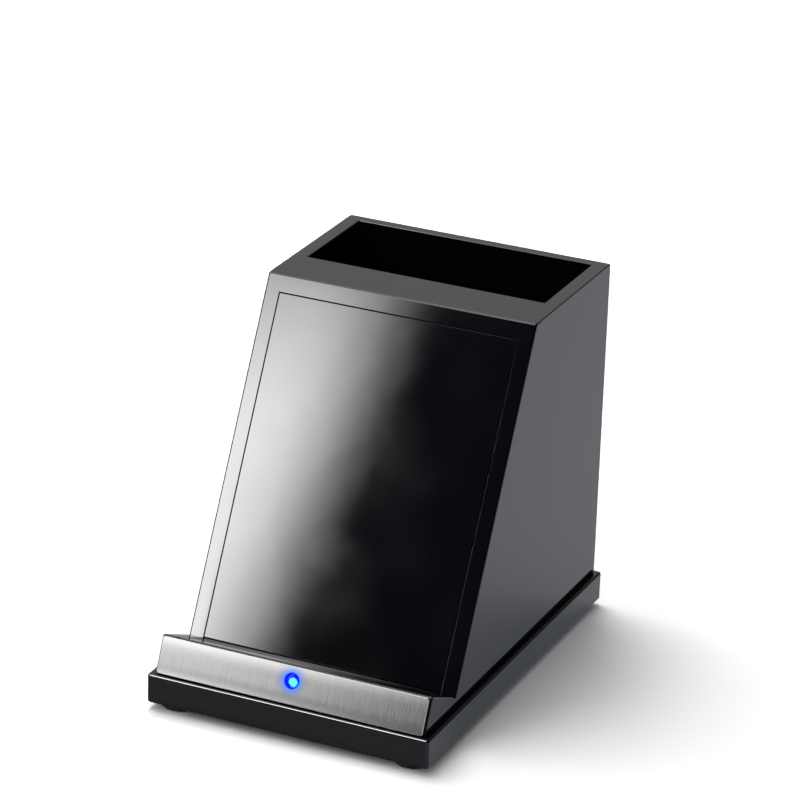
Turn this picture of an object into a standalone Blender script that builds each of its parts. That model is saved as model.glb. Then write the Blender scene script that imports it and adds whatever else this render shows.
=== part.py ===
"""A desk stand that charges a device on its slanted face and keeps pens in the bay behind it.

Lacquered boards make the body. Two side panels carry the whole outline seen from the side: the lip,
the ledge, the crease, the slope, the flat top and the upright back. The boards between them are
glued in, and the body is screwed to a wider base board with rubber feet. The charger hangs on the
back of the slanted panel, its inlet is low at the back, and its light shines through the steel strip.

Metres, +Z up. The origin is on the ground under the middle of the base, and -Y is the front.
"""

import math

import bmesh
import bpy
from mathutils import Matrix, Vector

# Clearances: between pieces that are glued, screwed or stood against each other, round the light's
# lens, how far a cutter runs past what it cuts, and how near two points are one
seam = 0.0003
lens_seam = 0.00015
overrun = 0.002
merge_distance = 0.00001

# Base board and feet
base_width = 0.095
base_thickness = 0.00975
base_corner_radius = 0.001
base_arris = 0.0008
side_step = 0.002
front_step = 0.0015
rear_step = 0.0014
foot_height = 0.002
foot_radius = 0.006
foot_edge_radius = 0.0007
foot_side_inset = 0.008
foot_end_inset = 0.0075

# Outline of the body seen from the side, from the foot of the lip to the back
lip_lean = 0.005
lip_rise = 0.01145
ledge_run = 0.0174
ledge_drop = 0.00775
slope_run = 0.0511
slope_rise = 0.1037
rail_width = 0.0177
bay_depth = 0.038
corner_radius = 0.0008
arris = 0.0006

# Boards of the body
side_thickness = 0.005
rear_thickness = 0.004
bay_wall_thickness = 0.004
rail_thickness = 0.005
panel_thickness = 0.005
housing_depth = 0.002
floor_thickness = 0.003
liner_thickness = 0.0015
liner_margin = 0.0007
liner_corner_radius = 0.003

# Glue blocks and cleats; a cleat takes a share of the room between the coil's tray and the side
block_width = 0.012
block_length = 0.014
front_block_height = 0.014
front_block_setback = 0.006
rear_block_setback = 0.0068
cleat_width_share = 0.6
cleat_depth = 0.006
cleat_rise = 0.022
cleat_headroom = 0.0097

# Steel strip on the front slope of the lip
strip_thickness = 0.0005
strip_side_margin = 0.0007
strip_low_margin = 0.0003
strip_high_margin = 0.0005
strip_corner_radius = 0.0008

# Status light, a little above the strip's middle: lens, light board and chip, and the slot that holds them
light_lift = 0.0014
lens_radius = 0.0024
lens_proud = 0.0005
lens_dome_height = 0.0006
flange_width = 0.0006
flange_thickness = 0.0009
light_wall = 0.0034
light_chip_width = 0.0035
light_chip_height = 0.0028
light_chip_thickness = 0.0009
light_board_width = 0.009
light_board_height = 0.0054
light_board_thickness = 0.001
light_slot_depth = 0.0064
light_slot_margin = 0.0004

# Charging coil, a flat spiral of one wire
coil_turns = 10
coil_loop_points = 24
coil_wire = 0.001
coil_spacing = 0.00045
coil_inner_radius = 0.01025
coil_hook_radius = 0.0042
coil_outlet_reach = 0.0009
coil_outlet_run = 0.0036
coil_bend = 0.0016
pocket_margin = 0.0015
pocket_depth = 0.002
least_coil_gap = 0.0004

# The coil's ends: how far round, how far in and how deep each point of the inner hook lies, and
# how far out and how deep each point of the outlet lies
coil_hook_shares = ((1.35, 0, 1.9), (1.3, 0.02, 1), (1.1, 0.14, 0.3), (0.8, 0.42, 0), (0.45, 0.75, 0))
coil_outlet_shares = ((0.45, 0.06), (0.85, 0.5), (1, 1.3))

# Ferrite disc and the tray that presses it to the panel
ferrite_margin = 0.00125
ferrite_thickness = 0.0015
eye_margin = 0.0015
lead_hole_radius = 0.0016
tray_headroom = 0.0077
tray_rim = 0.0032
tray_thickness = 0.0025
tray_corner_radius = 0.005
tray_screw_inset = 0.003
post_radius = 0.0025
post_height = 0.004

# Charger board and what is on it
board_width = 0.044
board_height = 0.05
board_thickness = 0.0012
board_corner_radius = 0.0015
board_drop = 0.006
board_screw_inset = 0.004
control_chip_width = 0.007
control_chip_thickness = 0.0009
bridge_chip_width = 0.005
bridge_chip_length = 0.006
bridge_chip_thickness = 0.001
resonance_width = 0.0025
resonance_length = 0.0032
resonance_thickness = 0.002
resonance_pitch = 0.0045
inductor_width = 0.0066
inductor_thickness = 0.003
inductor_edge = 0.0008
can_radius = 0.00315
can_height = 0.0054
can_edge_radius = 0.0005

# Places on the charger board, as shares of its width and height from its middle
control_chip_share = (-0.16, 0.02)
bridge_chip_shares = ((0.2, 0.22), (0.2, 0.02))
resonance_share = (-0.15, 0.3)
inductor_share = (-0.2, -0.22)
can_share = (0.2, -0.24)
power_pad_share = (0.02, -0.43)
light_pad_share = (-0.2, -0.43)

# Inlet at the low back: bracket, board, socket, and the pocket routed in the rear panel for them
inlet_board_width = 0.02
inlet_board_length = 0.0186
inlet_board_thickness = 0.0012
bracket_thickness = 0.0012
bracket_boss_height = 0.0013
bracket_boss_radius = 0.0024
inlet_screw_spacing = 0.013
inlet_screw_setback = 0.005
socket_width = 0.00894
socket_height = 0.0032
socket_length = 0.00735
socket_wall = 0.0003
socket_setback = 0.0005
tongue_width = 0.0066
tongue_thickness = 0.0007
tongue_length = 0.0052
tongue_root_length = 0.0014
socket_headroom = 0.0005
rear_pocket_margin = 0.0025
rear_skin = 0.0016

# Screws
base_screw_head_radius = 0.003
base_screw_head_height = 0.0016
base_screw_radius = 0.0015
base_screw_length = 0.014
base_screw_sink = 0.0005
tray_screw_head_radius = 0.0019
tray_screw_head_height = 0.0013
tray_screw_radius = 0.0011
tray_screw_length = 0.0054
board_screw_head_radius = 0.0017
board_screw_head_height = 0.0011
board_screw_radius = 0.0009
board_screw_length = 0.0048
inlet_screw_length = 0.0075
screw_tip_share = 0.18

# Leads, the grooves routed for them in the base, and how many diameters apart a lead's points are
power_lead = 0.0014
light_lead = 0.001
power_lead_spacing = 0.004
light_lead_spacing = 0.0024
lead_groove_width = 0.008
lead_groove_depth = 0.0025
lead_point_share = 3

# Heights and depths that follow from these
base_depth = (
    front_step + lip_lean + ledge_run + slope_run + rail_width + bay_depth + rear_thickness + rear_step
)
front = -base_depth / 2
base_top = foot_height + base_thickness
body_low = base_top + seam
lip_foot_y = front + front_step
crest = Vector((lip_foot_y + lip_lean, base_top + lip_rise))
crease = Vector((crest.x + ledge_run, crest.y - ledge_drop))
brow_y = crease.x + slope_run
body_top = crease.y + slope_rise
bay_front_y = brow_y + rail_width
bay_rear_y = bay_front_y + bay_depth
body_rear_y = bay_rear_y + rear_thickness
body_half = base_width / 2 - side_step
inner_half = body_half - side_thickness
board_half = inner_half - seam
slope_angle = math.atan2(slope_rise, slope_run)
lip_angle = math.atan2(lip_rise, lip_lean)
lip_face_length = math.hypot(lip_rise, lip_lean)
panel_run = panel_thickness / math.sin(slope_angle)
rail_low = body_top - rail_thickness
wall_top = rail_low - seam

# Sizes of the coil, of what lies round it, and its height up the slope
coil_pitch = coil_wire + coil_spacing
coil_radius = coil_inner_radius + coil_pitch * coil_turns
ferrite_radius = coil_radius + coil_wire / 2 + ferrite_margin
ferrite_eye_radius = coil_hook_radius + coil_wire / 2 + eye_margin
pocket_radius = ferrite_radius + pocket_margin
tray_width = 2 * (ferrite_radius + seam + tray_rim)
cleat_width = (board_half - tray_width / 2) * cleat_width_share
panel_top_rise = (wall_top - crease.y) / math.sin(slope_angle)
coil_rise = panel_top_rise - tray_headroom - tray_width / 2

# Depths behind the slanted face of what hangs on the charging panel, square to it
pocket_floor = panel_thickness - pocket_depth
coil_depth = pocket_floor + seam + coil_wire / 2
ferrite_front = coil_depth + coil_wire / 2 + seam
ferrite_back = ferrite_front + ferrite_thickness
tray_front = panel_thickness + seam
tray_back = tray_front + tray_thickness
post_end = tray_back + post_height
board_front = post_end + seam
board_back = board_front + board_thickness
part_seat = board_back + seam

# Heights of the inlet, which set how high the bay floor lies
inlet_board_low = body_low + bracket_thickness + bracket_boss_height + seam
inlet_board_top = inlet_board_low + inlet_board_thickness
socket_low = inlet_board_top + seam
socket_middle = socket_low + socket_height / 2
rear_block_top = socket_low + socket_height + socket_headroom
floor_low = rear_block_top + seam
floor_top = floor_low + floor_thickness
inlet_board_rear = body_rear_y - rear_skin - seam
inlet_board_front = inlet_board_rear - inlet_board_length

# Depths behind the front slope of the lip, square to it, and what lies in the middle of the strip
flange_radius = lens_radius + flange_width
flange_back = light_wall + seam + flange_thickness
light_chip_back = flange_back + seam + light_chip_thickness
light_board_back = light_chip_back + seam + light_board_thickness
strip_middle = strip_low_margin + (lip_face_length - strip_low_margin - strip_high_margin) / 2
light_rise = strip_middle + light_lift


def clear_scene():
    for obj in list(bpy.data.objects):
        bpy.data.objects.remove(obj, do_unlink=True)


def new_collection(name):
    made = bpy.data.collections.new(name)
    bpy.context.scene.collection.children.link(made)
    return made


clear_scene()
parts = new_collection("wireless_charger_pen_holder")
cutters = new_collection("cutters")
cutters.hide_render = True


def new_material(name, colour, roughness, metallic=0.0):
    material = bpy.data.materials.new(name)
    material.use_nodes = True
    shader = material.node_tree.nodes["Principled BSDF"]
    shader.inputs["Base Color"].default_value = (*colour, 1.0)
    shader.inputs["Roughness"].default_value = roughness
    shader.inputs["Metallic"].default_value = metallic
    material.diffuse_color = (*colour, 1.0)
    return material


black_lacquer = new_material("black_lacquer", (0.012, 0.012, 0.013), 0.16)
bare_wood = new_material("bare_wood", (0.55, 0.38, 0.22), 0.75)
black_felt = new_material("black_felt", (0.01, 0.01, 0.01), 0.95)
brushed_steel = new_material("brushed_steel", (0.62, 0.6, 0.58), 0.34, 1.0)
blue_lens = new_material("blue_lens", (0.02, 0.08, 0.9), 0.12)
black_rubber = new_material("black_rubber", (0.02, 0.02, 0.02), 0.8)
enamelled_copper = new_material("enamelled_copper", (0.72, 0.3, 0.13), 0.3, 1.0)
grey_ferrite = new_material("grey_ferrite", (0.09, 0.09, 0.1), 0.6)
tray_plastic = new_material("tray_plastic", (0.75, 0.75, 0.73), 0.5)
green_laminate = new_material("green_laminate", (0.02, 0.16, 0.06), 0.4)
chip_plastic = new_material("chip_plastic", (0.03, 0.03, 0.03), 0.5)
light_chip_white = new_material("light_chip_white", (0.85, 0.85, 0.8), 0.4)
tan_ceramic = new_material("tan_ceramic", (0.45, 0.33, 0.2), 0.45)
can_aluminium = new_material("can_aluminium", (0.75, 0.76, 0.78), 0.3, 1.0)
bright_tin = new_material("bright_tin", (0.7, 0.7, 0.7), 0.25, 1.0)
screw_zinc = new_material("screw_zinc", (0.66, 0.66, 0.64), 0.35, 1.0)
red_lead = new_material("red_lead", (0.5, 0.02, 0.02), 0.45)
black_lead = new_material("black_lead", (0.02, 0.02, 0.02), 0.45)


def tilted_frame(name, place, angle):
    """An empty whose Y runs up a slope and whose Z points out of it, towards the front."""
    frame = bpy.data.objects.new(name, None)
    frame.location = place
    frame.rotation_euler = (angle, 0, 0)
    parts.objects.link(frame)
    return frame


slope_frame = tilted_frame("slope_frame", (0, crease.x, crease.y), slope_angle)
lip_frame = tilted_frame("lip_frame", (0, lip_foot_y, base_top), lip_angle)


def place_in(frame, x, rise, depth):
    """The world place of a point that lies depth behind a tilted frame's face."""
    turned_to = Matrix.Rotation(frame.rotation_euler.x, 4, "X")
    return frame.location + turned_to @ Vector((x, rise, -depth))


def add_object(name, data, material, frame=None, place=(0, 0, 0), turn=(0, 0, 0)):
    """Links an object as a part, or as a cutter where it has no material."""
    obj = bpy.data.objects.new(name, data)
    obj.parent = frame
    obj.location = place
    obj.rotation_euler = turn
    if material is None:
        obj.hide_render = True
        obj.display_type = "WIRE"
        cutters.objects.link(obj)
    else:
        data.materials.append(material)
        parts.objects.link(obj)
    return obj


def box(name, low, high, material, frame=None):
    """A block between two corners, with its origin in its middle."""
    low, high = Vector(low), Vector(high)
    mesh = bpy.data.meshes.new(name)
    work = bmesh.new()
    bmesh.ops.create_cube(work, size=1)
    bmesh.ops.scale(work, vec=high - low, verts=work.verts)
    work.to_mesh(mesh)
    work.free()
    return add_object(name, mesh, material, frame, (low + high) / 2)


def slab(name, outlines, thickness, material, frame=None, place=(0, 0, 0), turn=(0, 0, 0)):
    """A flat piece: the first outline is its edge, the others are holes, and Z is its thickness."""
    curve = bpy.data.curves.new(name, "CURVE")
    curve.dimensions = "2D"
    curve.fill_mode = "BOTH"
    curve.extrude = thickness / 2
    for outline in outlines:
        spline = curve.splines.new("POLY")
        spline.points.add(len(outline) - 1)
        spline.use_cyclic_u = True
        for point, (x, y) in zip(spline.points, outline):
            point.co = (x, y, 0, 1)
    drawn = bpy.data.objects.new(name, curve)
    parts.objects.link(drawn)
    bpy.context.view_layer.update()
    mesh = bpy.data.meshes.new_from_object(drawn.evaluated_get(bpy.context.evaluated_depsgraph_get()))
    bpy.data.objects.remove(drawn, do_unlink=True)
    bpy.data.curves.remove(curve)
    mesh.name = name
    work = bmesh.new()
    work.from_mesh(mesh)
    bmesh.ops.remove_doubles(work, verts=work.verts, dist=merge_distance)
    bmesh.ops.dissolve_limit(work, angle_limit=math.radians(1), verts=work.verts, edges=work.edges)
    bmesh.ops.recalc_face_normals(work, faces=work.faces)
    work.to_mesh(mesh)
    work.free()
    mesh.shade_smooth()
    mesh.set_sharp_from_angle(angle=math.radians(35))
    return add_object(name, mesh, material, frame, place, turn)


def board_across(name, outline, low_x, high_x, material):
    """A board whose outline, in (y, z), is drawn from the side and runs from low_x to high_x."""
    sideways = (math.pi / 2, 0, math.pi / 2)
    return slab(name, [outline], high_x - low_x, material, None, ((low_x + high_x) / 2, 0, 0), sideways)


def turned(name, profile, steps, material, frame=None, place=(0, 0, 0), turn=(0, 0, 0)):
    """A turned piece: the profile is (radius, height) down its outer side, from axis to axis."""
    mesh = bpy.data.meshes.new(name)
    rows = [(radius, 0, height) for radius, height in profile]
    mesh.from_pydata(rows, [(k, k + 1) for k in range(len(rows) - 1)], [])
    obj = add_object(name, mesh, material, frame, place, turn)
    screw = obj.modifiers.new("turn", "SCREW")
    screw.axis = "Z"
    screw.steps = steps
    screw.render_steps = steps
    screw.use_merge_vertices = True
    screw.merge_threshold = merge_distance
    return obj


def rod(name, radius, low, high, steps, material, frame=None, place=(0, 0), turn=(0, 0, 0)):
    """A straight round piece or cutter between two heights."""
    profile = [(0, high), (radius, high), (radius, low), (0, low)]
    return turned(name, profile, steps, material, frame, (*place, 0), turn)


def use_boolean(target, other, operation):
    modifier = target.modifiers.new(other.name, "BOOLEAN")
    modifier.operation = operation
    modifier.solver = "EXACT"
    modifier.object = other


def cut(target, cutter):
    use_boolean(target, cutter, "DIFFERENCE")


def join(target, added):
    """Adds a helper solid to a part."""
    use_boolean(target, added, "UNION")


def ease_all(obj, width, segments=2):
    """Rounds every sharp edge of a piece."""
    bevel = obj.modifiers.new("arris", "BEVEL")
    bevel.width = width
    bevel.segments = segments
    bevel.limit_method = "ANGLE"
    bevel.angle_limit = math.radians(40)


def ease_face_edges(obj, height, width, segments=2):
    """Rounds the edges round one face of a slab, the one at this height of its thickness."""
    work = bmesh.new()
    work.from_mesh(obj.data)
    weights = work.edges.layers.float.new("bevel_weight_edge")
    for edge in work.edges:
        on_face = all(abs(vertex.co.z - height) < merge_distance for vertex in edge.verts)
        edge[weights] = 1.0 if on_face else 0.0
    work.to_mesh(obj.data)
    work.free()
    bevel = obj.modifiers.new("arris", "BEVEL")
    bevel.width = width
    bevel.segments = segments
    bevel.limit_method = "WEIGHT"


def rounded_outline(corners, radii, steps=3):
    """The corners of an outline, each with an arc of its own radius, or sharp where that is zero."""
    points = []
    for k, (corner, radius) in enumerate(zip(corners, radii)):
        corner = Vector(corner)
        if radius == 0:
            points.append(tuple(corner))
            continue
        before = (Vector(corners[k - 1]) - corner).normalized()
        after = (Vector(corners[(k + 1) % len(corners)]) - corner).normalized()
        half_angle = before.angle(after) / 2
        middle = corner + (before + after).normalized() * radius / math.sin(half_angle)
        reach = radius / math.tan(half_angle)
        start = (corner + before * reach - middle).normalized()
        end = (corner + after * reach - middle).normalized()
        for step in range(steps + 1):
            points.append(tuple(middle + start.slerp(end, step / steps) * radius))
    return points


def rounded_rectangle(width, height, radius, steps=4):
    across, up = width / 2, height / 2
    corners = [(across, up), (-across, up), (-across, -up), (across, -up)]
    return rounded_outline(corners, [radius] * len(corners), steps)


def stadium(width, height, steps=6):
    """A slot outline with half-round ends."""
    radius = height / 2
    reach = width / 2 - radius
    points = []
    for side in (1, -1):
        for step in range(steps + 1):
            angle = math.pi * (step / steps - 0.5)
            points.append((side * (reach + radius * math.cos(angle)), side * radius * math.sin(angle)))
    return points


def circle(radius, steps, middle=(0, 0)):
    angles = [2 * math.pi * step / steps for step in range(steps)]
    return [(middle[0] + radius * math.cos(a), middle[1] + radius * math.sin(a)) for a in angles]


def slope_y(height):
    """How far back the slanted face is at a height."""
    return crease.x + (height - crease.y) * slope_run / slope_rise


def lip_y(height):
    """How far back the front slope of the lip is at a height."""
    return lip_foot_y + (height - base_top) * lip_lean / lip_rise


def screw(name, head_radius, head_height, radius, length, countersunk, frame, place, upwards):
    """A screw, placed by the underside of its pan head or the face of its countersunk one."""
    if countersunk:
        head = [(0, 0), (head_radius, 0), (radius, -head_height)]
    else:
        head = [(0, head_height), (head_radius, head_height), (head_radius, 0), (radius, 0)]
    point = [(radius, length * screw_tip_share - length), (0, -length)]
    turn = (math.pi, 0, 0) if upwards else (0, 0, 0)
    return turned(name, head + point, 16, screw_zinc, frame, place, turn)


def make_base():
    """The base board, with eased arrises, countersunk screw holes and two grooves for the leads."""
    outline = rounded_rectangle(base_width, base_depth, base_corner_radius)
    middle = foot_height + base_thickness / 2
    base = slab("base_board", [outline], base_thickness, black_lacquer, None, (0, 0, middle))
    ease_all(base, base_arris, 3)
    for name, x, y in base_screw_places():
        head_low = foot_height + base_screw_sink
        head_wide = base_screw_head_radius + seam
        hole_wide = base_screw_radius + seam
        head_top = head_low + base_screw_head_height
        cone = [
            (0, base_top + overrun),
            (hole_wide, base_top + overrun),
            (hole_wide, head_top),
            (head_wide, head_low),
            (head_wide, foot_height - overrun),
            (0, foot_height - overrun),
        ]
        cut(base, turned(name + "_hole", cone, 24, None, None, (x, y, 0)))
    for name, start, end in (
        ("front_groove", light_groove_start, light_groove_end),
        ("rear_groove", power_groove_start, power_groove_end),
    ):
        depth = lead_groove_depth + overrun
        place = (0, (start + end) / 2, base_top - lead_groove_depth + depth / 2)
        quarter_turn = (0, 0, math.pi / 2)
        outline = stadium(end - start, lead_groove_width)
        cut(base, slab(name, [outline], depth, None, None, place, quarter_turn))
    for name, side in (("left", -1), ("right", 1)):
        bore = rod(f"inlet_base_bore_{name}", *inlet_bore(), 12, None, None, inlet_screw_place(side))
        cut(base, bore)


def make_feet():
    """Four rubber feet, stuck under the corners of the base."""
    side_x = base_width / 2 - foot_side_inset
    end_y = base_depth / 2 - foot_end_inset
    top = foot_height - seam
    profile = [(0, top), (foot_radius, top)]
    arc_steps = 3
    for step in range(arc_steps + 1):
        angle = math.pi / 2 * step / arc_steps
        ring = foot_radius - foot_edge_radius * (1 - math.cos(angle))
        profile.append((ring, foot_edge_radius * (1 - math.sin(angle))))
    profile.append((0, 0))
    for name, x, y in (
        ("front_left", -side_x, -end_y),
        ("front_right", side_x, -end_y),
        ("rear_left", -side_x, end_y),
        ("rear_right", side_x, end_y),
    ):
        turned(f"foot_{name}", profile, 28, black_rubber, None, (x, y, 0))


def side_outline():
    corners = [
        (lip_y(body_low), body_low),
        tuple(crest),
        tuple(crease),
        (brow_y, body_top),
        (body_rear_y, body_top),
        (body_rear_y, body_low),
    ]
    return rounded_outline(corners, [0, corner_radius, 0, corner_radius, corner_radius, 0])


def make_sides():
    """The side panels, eased on their outer face, with a housing for the bay wall inside."""
    for name, side in (("left", -1), ("right", 1)):
        edges = sorted((side * inner_half, side * body_half))
        panel = board_across(f"{name}_side_panel", side_outline(), *edges, black_lacquer)
        ease_face_edges(panel, side * side_thickness / 2, arris)
        reach = sorted((side * (inner_half - overrun), side * (inner_half + housing_depth)))
        low = (reach[0], bay_front_y - bay_wall_thickness - seam, body_low - overrun)
        high = (reach[1], bay_front_y + seam, wall_top + seam)
        cut(panel, box(f"{name}_housing", low, high, None))


def make_rear_panel():
    """The rear panel, with a pocket routed from inside and a slot for the inlet."""
    corners = [
        (bay_rear_y, body_low),
        (bay_rear_y, body_top),
        (body_rear_y, body_top),
        (body_rear_y, body_low),
    ]
    outline = rounded_outline(corners, [0, 0, corner_radius, 0])
    panel = board_across("rear_panel", outline, -board_half, board_half, black_lacquer)
    half = inlet_board_width / 2 + rear_pocket_margin
    low = (-half, bay_rear_y - overrun, body_low - overrun)
    cut(panel, box("rear_pocket", low, (half, body_rear_y - rear_skin, floor_low), None))
    slot = stadium(socket_width + 2 * seam, socket_height + 2 * seam)
    length = rear_skin + 2 * overrun
    place = (0, body_rear_y - rear_skin / 2, socket_middle)
    cut(panel, slab("inlet_slot", [slot], length, None, None, place, (math.pi / 2, 0, 0)))


def make_top_rail():
    """The top rail, bevelled in front to carry on the slope."""
    corners = [
        (slope_y(rail_low), rail_low),
        (brow_y, body_top),
        (bay_front_y, body_top),
        (bay_front_y, rail_low),
    ]
    outline = rounded_outline(corners, [0, corner_radius, 0, 0])
    board_across("top_rail", outline, -board_half, board_half, black_lacquer)


def make_bay_wall():
    """The wall between the bay and the charger, housed in the side panels."""
    half = inner_half + housing_depth - seam
    low = (-half, bay_front_y - bay_wall_thickness, body_low)
    box("bay_wall", low, (half, bay_front_y, wall_top), black_lacquer)


def make_bay_floor():
    """The bay's floor on the rear glue blocks, and the felt liner on it."""
    low = (-board_half, bay_front_y + seam, floor_low)
    box("bay_floor", low, (board_half, bay_rear_y - seam, floor_top), black_lacquer)
    width = 2 * (board_half - liner_margin)
    length = bay_depth - 2 * (seam + liner_margin)
    middle = (0, (bay_front_y + bay_rear_y) / 2, floor_top + seam + liner_thickness / 2)
    outline = rounded_rectangle(width, length, liner_corner_radius)
    liner = slab("bay_liner", [outline], liner_thickness, black_felt, None, middle)
    ease_all(liner, liner_thickness / 4)


def make_charging_panel():
    """The slanted panel, with a round pocket behind for the coil and blind holes for the tray."""
    low = crease.y + seam
    corners = [
        (slope_y(low), low),
        (slope_y(wall_top), wall_top),
        (slope_y(wall_top) + panel_run, wall_top),
        (slope_y(low) + panel_run, low),
    ]
    panel = board_across("charging_panel", corners, -board_half, board_half, black_lacquer)
    deep = -panel_thickness - overrun
    pocket = rod("coil_pocket", pocket_radius, deep, -pocket_floor, 48, None, slope_frame, (0, coil_rise))
    cut(panel, pocket)
    hole_top = -tray_screw_end + seam
    for name, x, rise in tray_screw_places():
        bore = rod(name + "_bore", tray_screw_radius + seam, deep, hole_top, 12, None, slope_frame, (x, rise))
        cut(panel, bore)


def make_lip_bar():
    """The wedge that makes the lip and the ledge, carries the slanted panel and is bored for the light."""
    corners = [
        (lip_y(body_low), body_low),
        tuple(crest),
        tuple(crease),
        (crease.x + panel_run, crease.y),
        (crease.x + panel_run, body_low),
    ]
    outline = rounded_outline(corners, [0, corner_radius, 0, 0, 0])
    bar = board_across("lip_bar", outline, -board_half, board_half, black_lacquer)
    low, high = -light_wall - overrun, overrun
    place = (0, light_rise)
    cut(bar, rod("lens_hole", lens_radius + lens_seam, low, high, 24, None, lip_frame, place))
    half = light_board_width / 2 + light_slot_margin
    top = light_rise + max(light_board_height / 2, flange_radius) + light_slot_margin
    low = (-half, -lip_face_length, -light_wall - light_slot_depth)
    cut(bar, box("light_slot", low, (half, top, -light_wall), None, lip_frame))


def make_steel_strip():
    """The brushed steel strip on the front slope, with a hole for the lens."""
    width = 2 * (body_half - strip_side_margin)
    height = lip_face_length - strip_low_margin - strip_high_margin
    hole = circle(lens_radius + lens_seam, 28, (0, light_lift))
    outline = rounded_rectangle(width, height, strip_corner_radius)
    place = (0, strip_middle, seam + strip_thickness / 2)
    slab("steel_strip", [outline, hole], strip_thickness, brushed_steel, lip_frame, place)


def make_status_light():
    """The domed lens, and behind it the light's chip on its small board."""
    face = seam + strip_thickness + lens_proud
    profile = [(0, face)]
    arc_steps = 5
    for step in range(1, arc_steps + 1):
        angle = math.pi / 2 * step / arc_steps
        ring = lens_radius * math.sin(angle)
        profile.append((ring, face - lens_dome_height * (1 - math.cos(angle))))
    behind = -light_wall - seam
    profile += [(lens_radius, behind), (flange_radius, behind)]
    profile += [(flange_radius, behind - flange_thickness), (0, behind - flange_thickness)]
    turned("light_lens", profile, 28, blue_lens, lip_frame, (0, light_rise, 0))
    across, up = light_chip_width / 2, light_chip_height / 2
    low = (-across, light_rise - up, -light_chip_back)
    box("light_chip", low, (across, light_rise + up, -flange_back - seam), light_chip_white, lip_frame)
    across, up = light_board_width / 2, light_board_height / 2
    low = (-across, light_rise - up, -light_board_back)
    high = (across, light_rise + up, -light_chip_back - seam)
    box("light_board", low, high, green_laminate, lip_frame)


def base_screw_places():
    """Name, x and y of each base screw, up the middle of its glue block."""
    x = board_half - block_width / 2
    front_y = front_block_y + block_length / 2
    rear_y = rear_block_y + block_length / 2
    return [
        ("base_screw_front_left", -x, front_y),
        ("base_screw_front_right", x, front_y),
        ("base_screw_rear_left", -x, rear_y),
        ("base_screw_rear_right", x, rear_y),
    ]


def make_glue_blocks():
    """Four blocks in the lower corners, which take the base screws; the rear ones carry the bay floor."""
    tops = {"front": body_low + front_block_height, "rear": rear_block_top}
    for name, x, y in base_screw_places():
        corner = name.removeprefix("base_screw_")
        top = tops[corner.split("_")[0]]
        low = (x - block_width / 2, y - block_length / 2, body_low)
        block = box(f"glue_block_{corner}", low, (x + block_width / 2, y + block_length / 2, top), bare_wood)
        end = foot_height + base_screw_sink + base_screw_length + seam
        wide = base_screw_radius + seam
        bore = rod(f"block_bore_{corner}", wide, body_low - overrun, end, 24, None, None, (x, y))
        cut(block, bore)


def make_base_screws():
    for name, x, y in base_screw_places():
        place = (x, y, foot_height + base_screw_sink)
        head = (base_screw_head_radius, base_screw_head_height)
        screw(name, *head, base_screw_radius, base_screw_length, True, None, place, True)


def make_cleats():
    """Two battens glued to the sides behind the slanted panel, which carry it."""
    for name, side in (("left", -1), ("right", 1)):
        across = sorted((side * board_half, side * (board_half - cleat_width)))
        low = (across[0], cleat_rise, -tray_front - cleat_depth)
        high = (across[1], panel_top_rise - cleat_headroom, -tray_front)
        box(f"{name}_cleat", low, high, bare_wood, slope_frame)


def polar(radius, angle):
    return Vector((radius * math.cos(angle), radius * math.sin(angle), 0))


def smooth_route(points, spacing):
    """Points at about this spacing on a smooth curve through the route's own points."""
    ends = [points[0] * 2 - points[1], *points, points[-1] * 2 - points[-2]]
    smooth = []
    for stretch in zip(ends, ends[1:], ends[2:], ends[3:]):
        knots = [0.0]
        for near, far in zip(stretch, stretch[1:]):
            knots.append(knots[-1] + math.sqrt((far - near).length))
        steps = max(1, round((stretch[2] - stretch[1]).length / spacing))
        for step in range(steps):
            at = knots[1] + (knots[2] - knots[1]) * step / steps
            level = list(stretch)
            for order in (1, 2, 3):
                level = [
                    level[k].lerp(level[k + 1], (at - knots[low]) / (knots[high] - knots[low]))
                    for k, low, high in curve_spans(order)
                ]
            smooth.append(level[0])
    smooth.append(points[-1])
    return smooth


def curve_spans(order):
    """Which knots each blend of a four-point stretch runs between, from three blends to one."""
    if order == 1:
        return [(0, 0, 1), (1, 1, 2), (2, 2, 3)]
    if order == 2:
        return [(0, 0, 2), (1, 1, 3)]
    return [(0, 1, 2)]


def tube(name, points, diameter, sides, material, frame=None):
    """A wire along points, with closed ends."""
    curve = bpy.data.curves.new(name, "CURVE")
    curve.dimensions = "3D"
    curve.bevel_depth = diameter / 2
    curve.bevel_resolution = sides
    curve.use_fill_caps = True
    spline = curve.splines.new("POLY")
    spline.points.add(len(points) - 1)
    for point, place in zip(spline.points, points):
        point.co = (*place, 1)
    spline.use_smooth = True
    return add_object(name, curve, material, frame)


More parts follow.
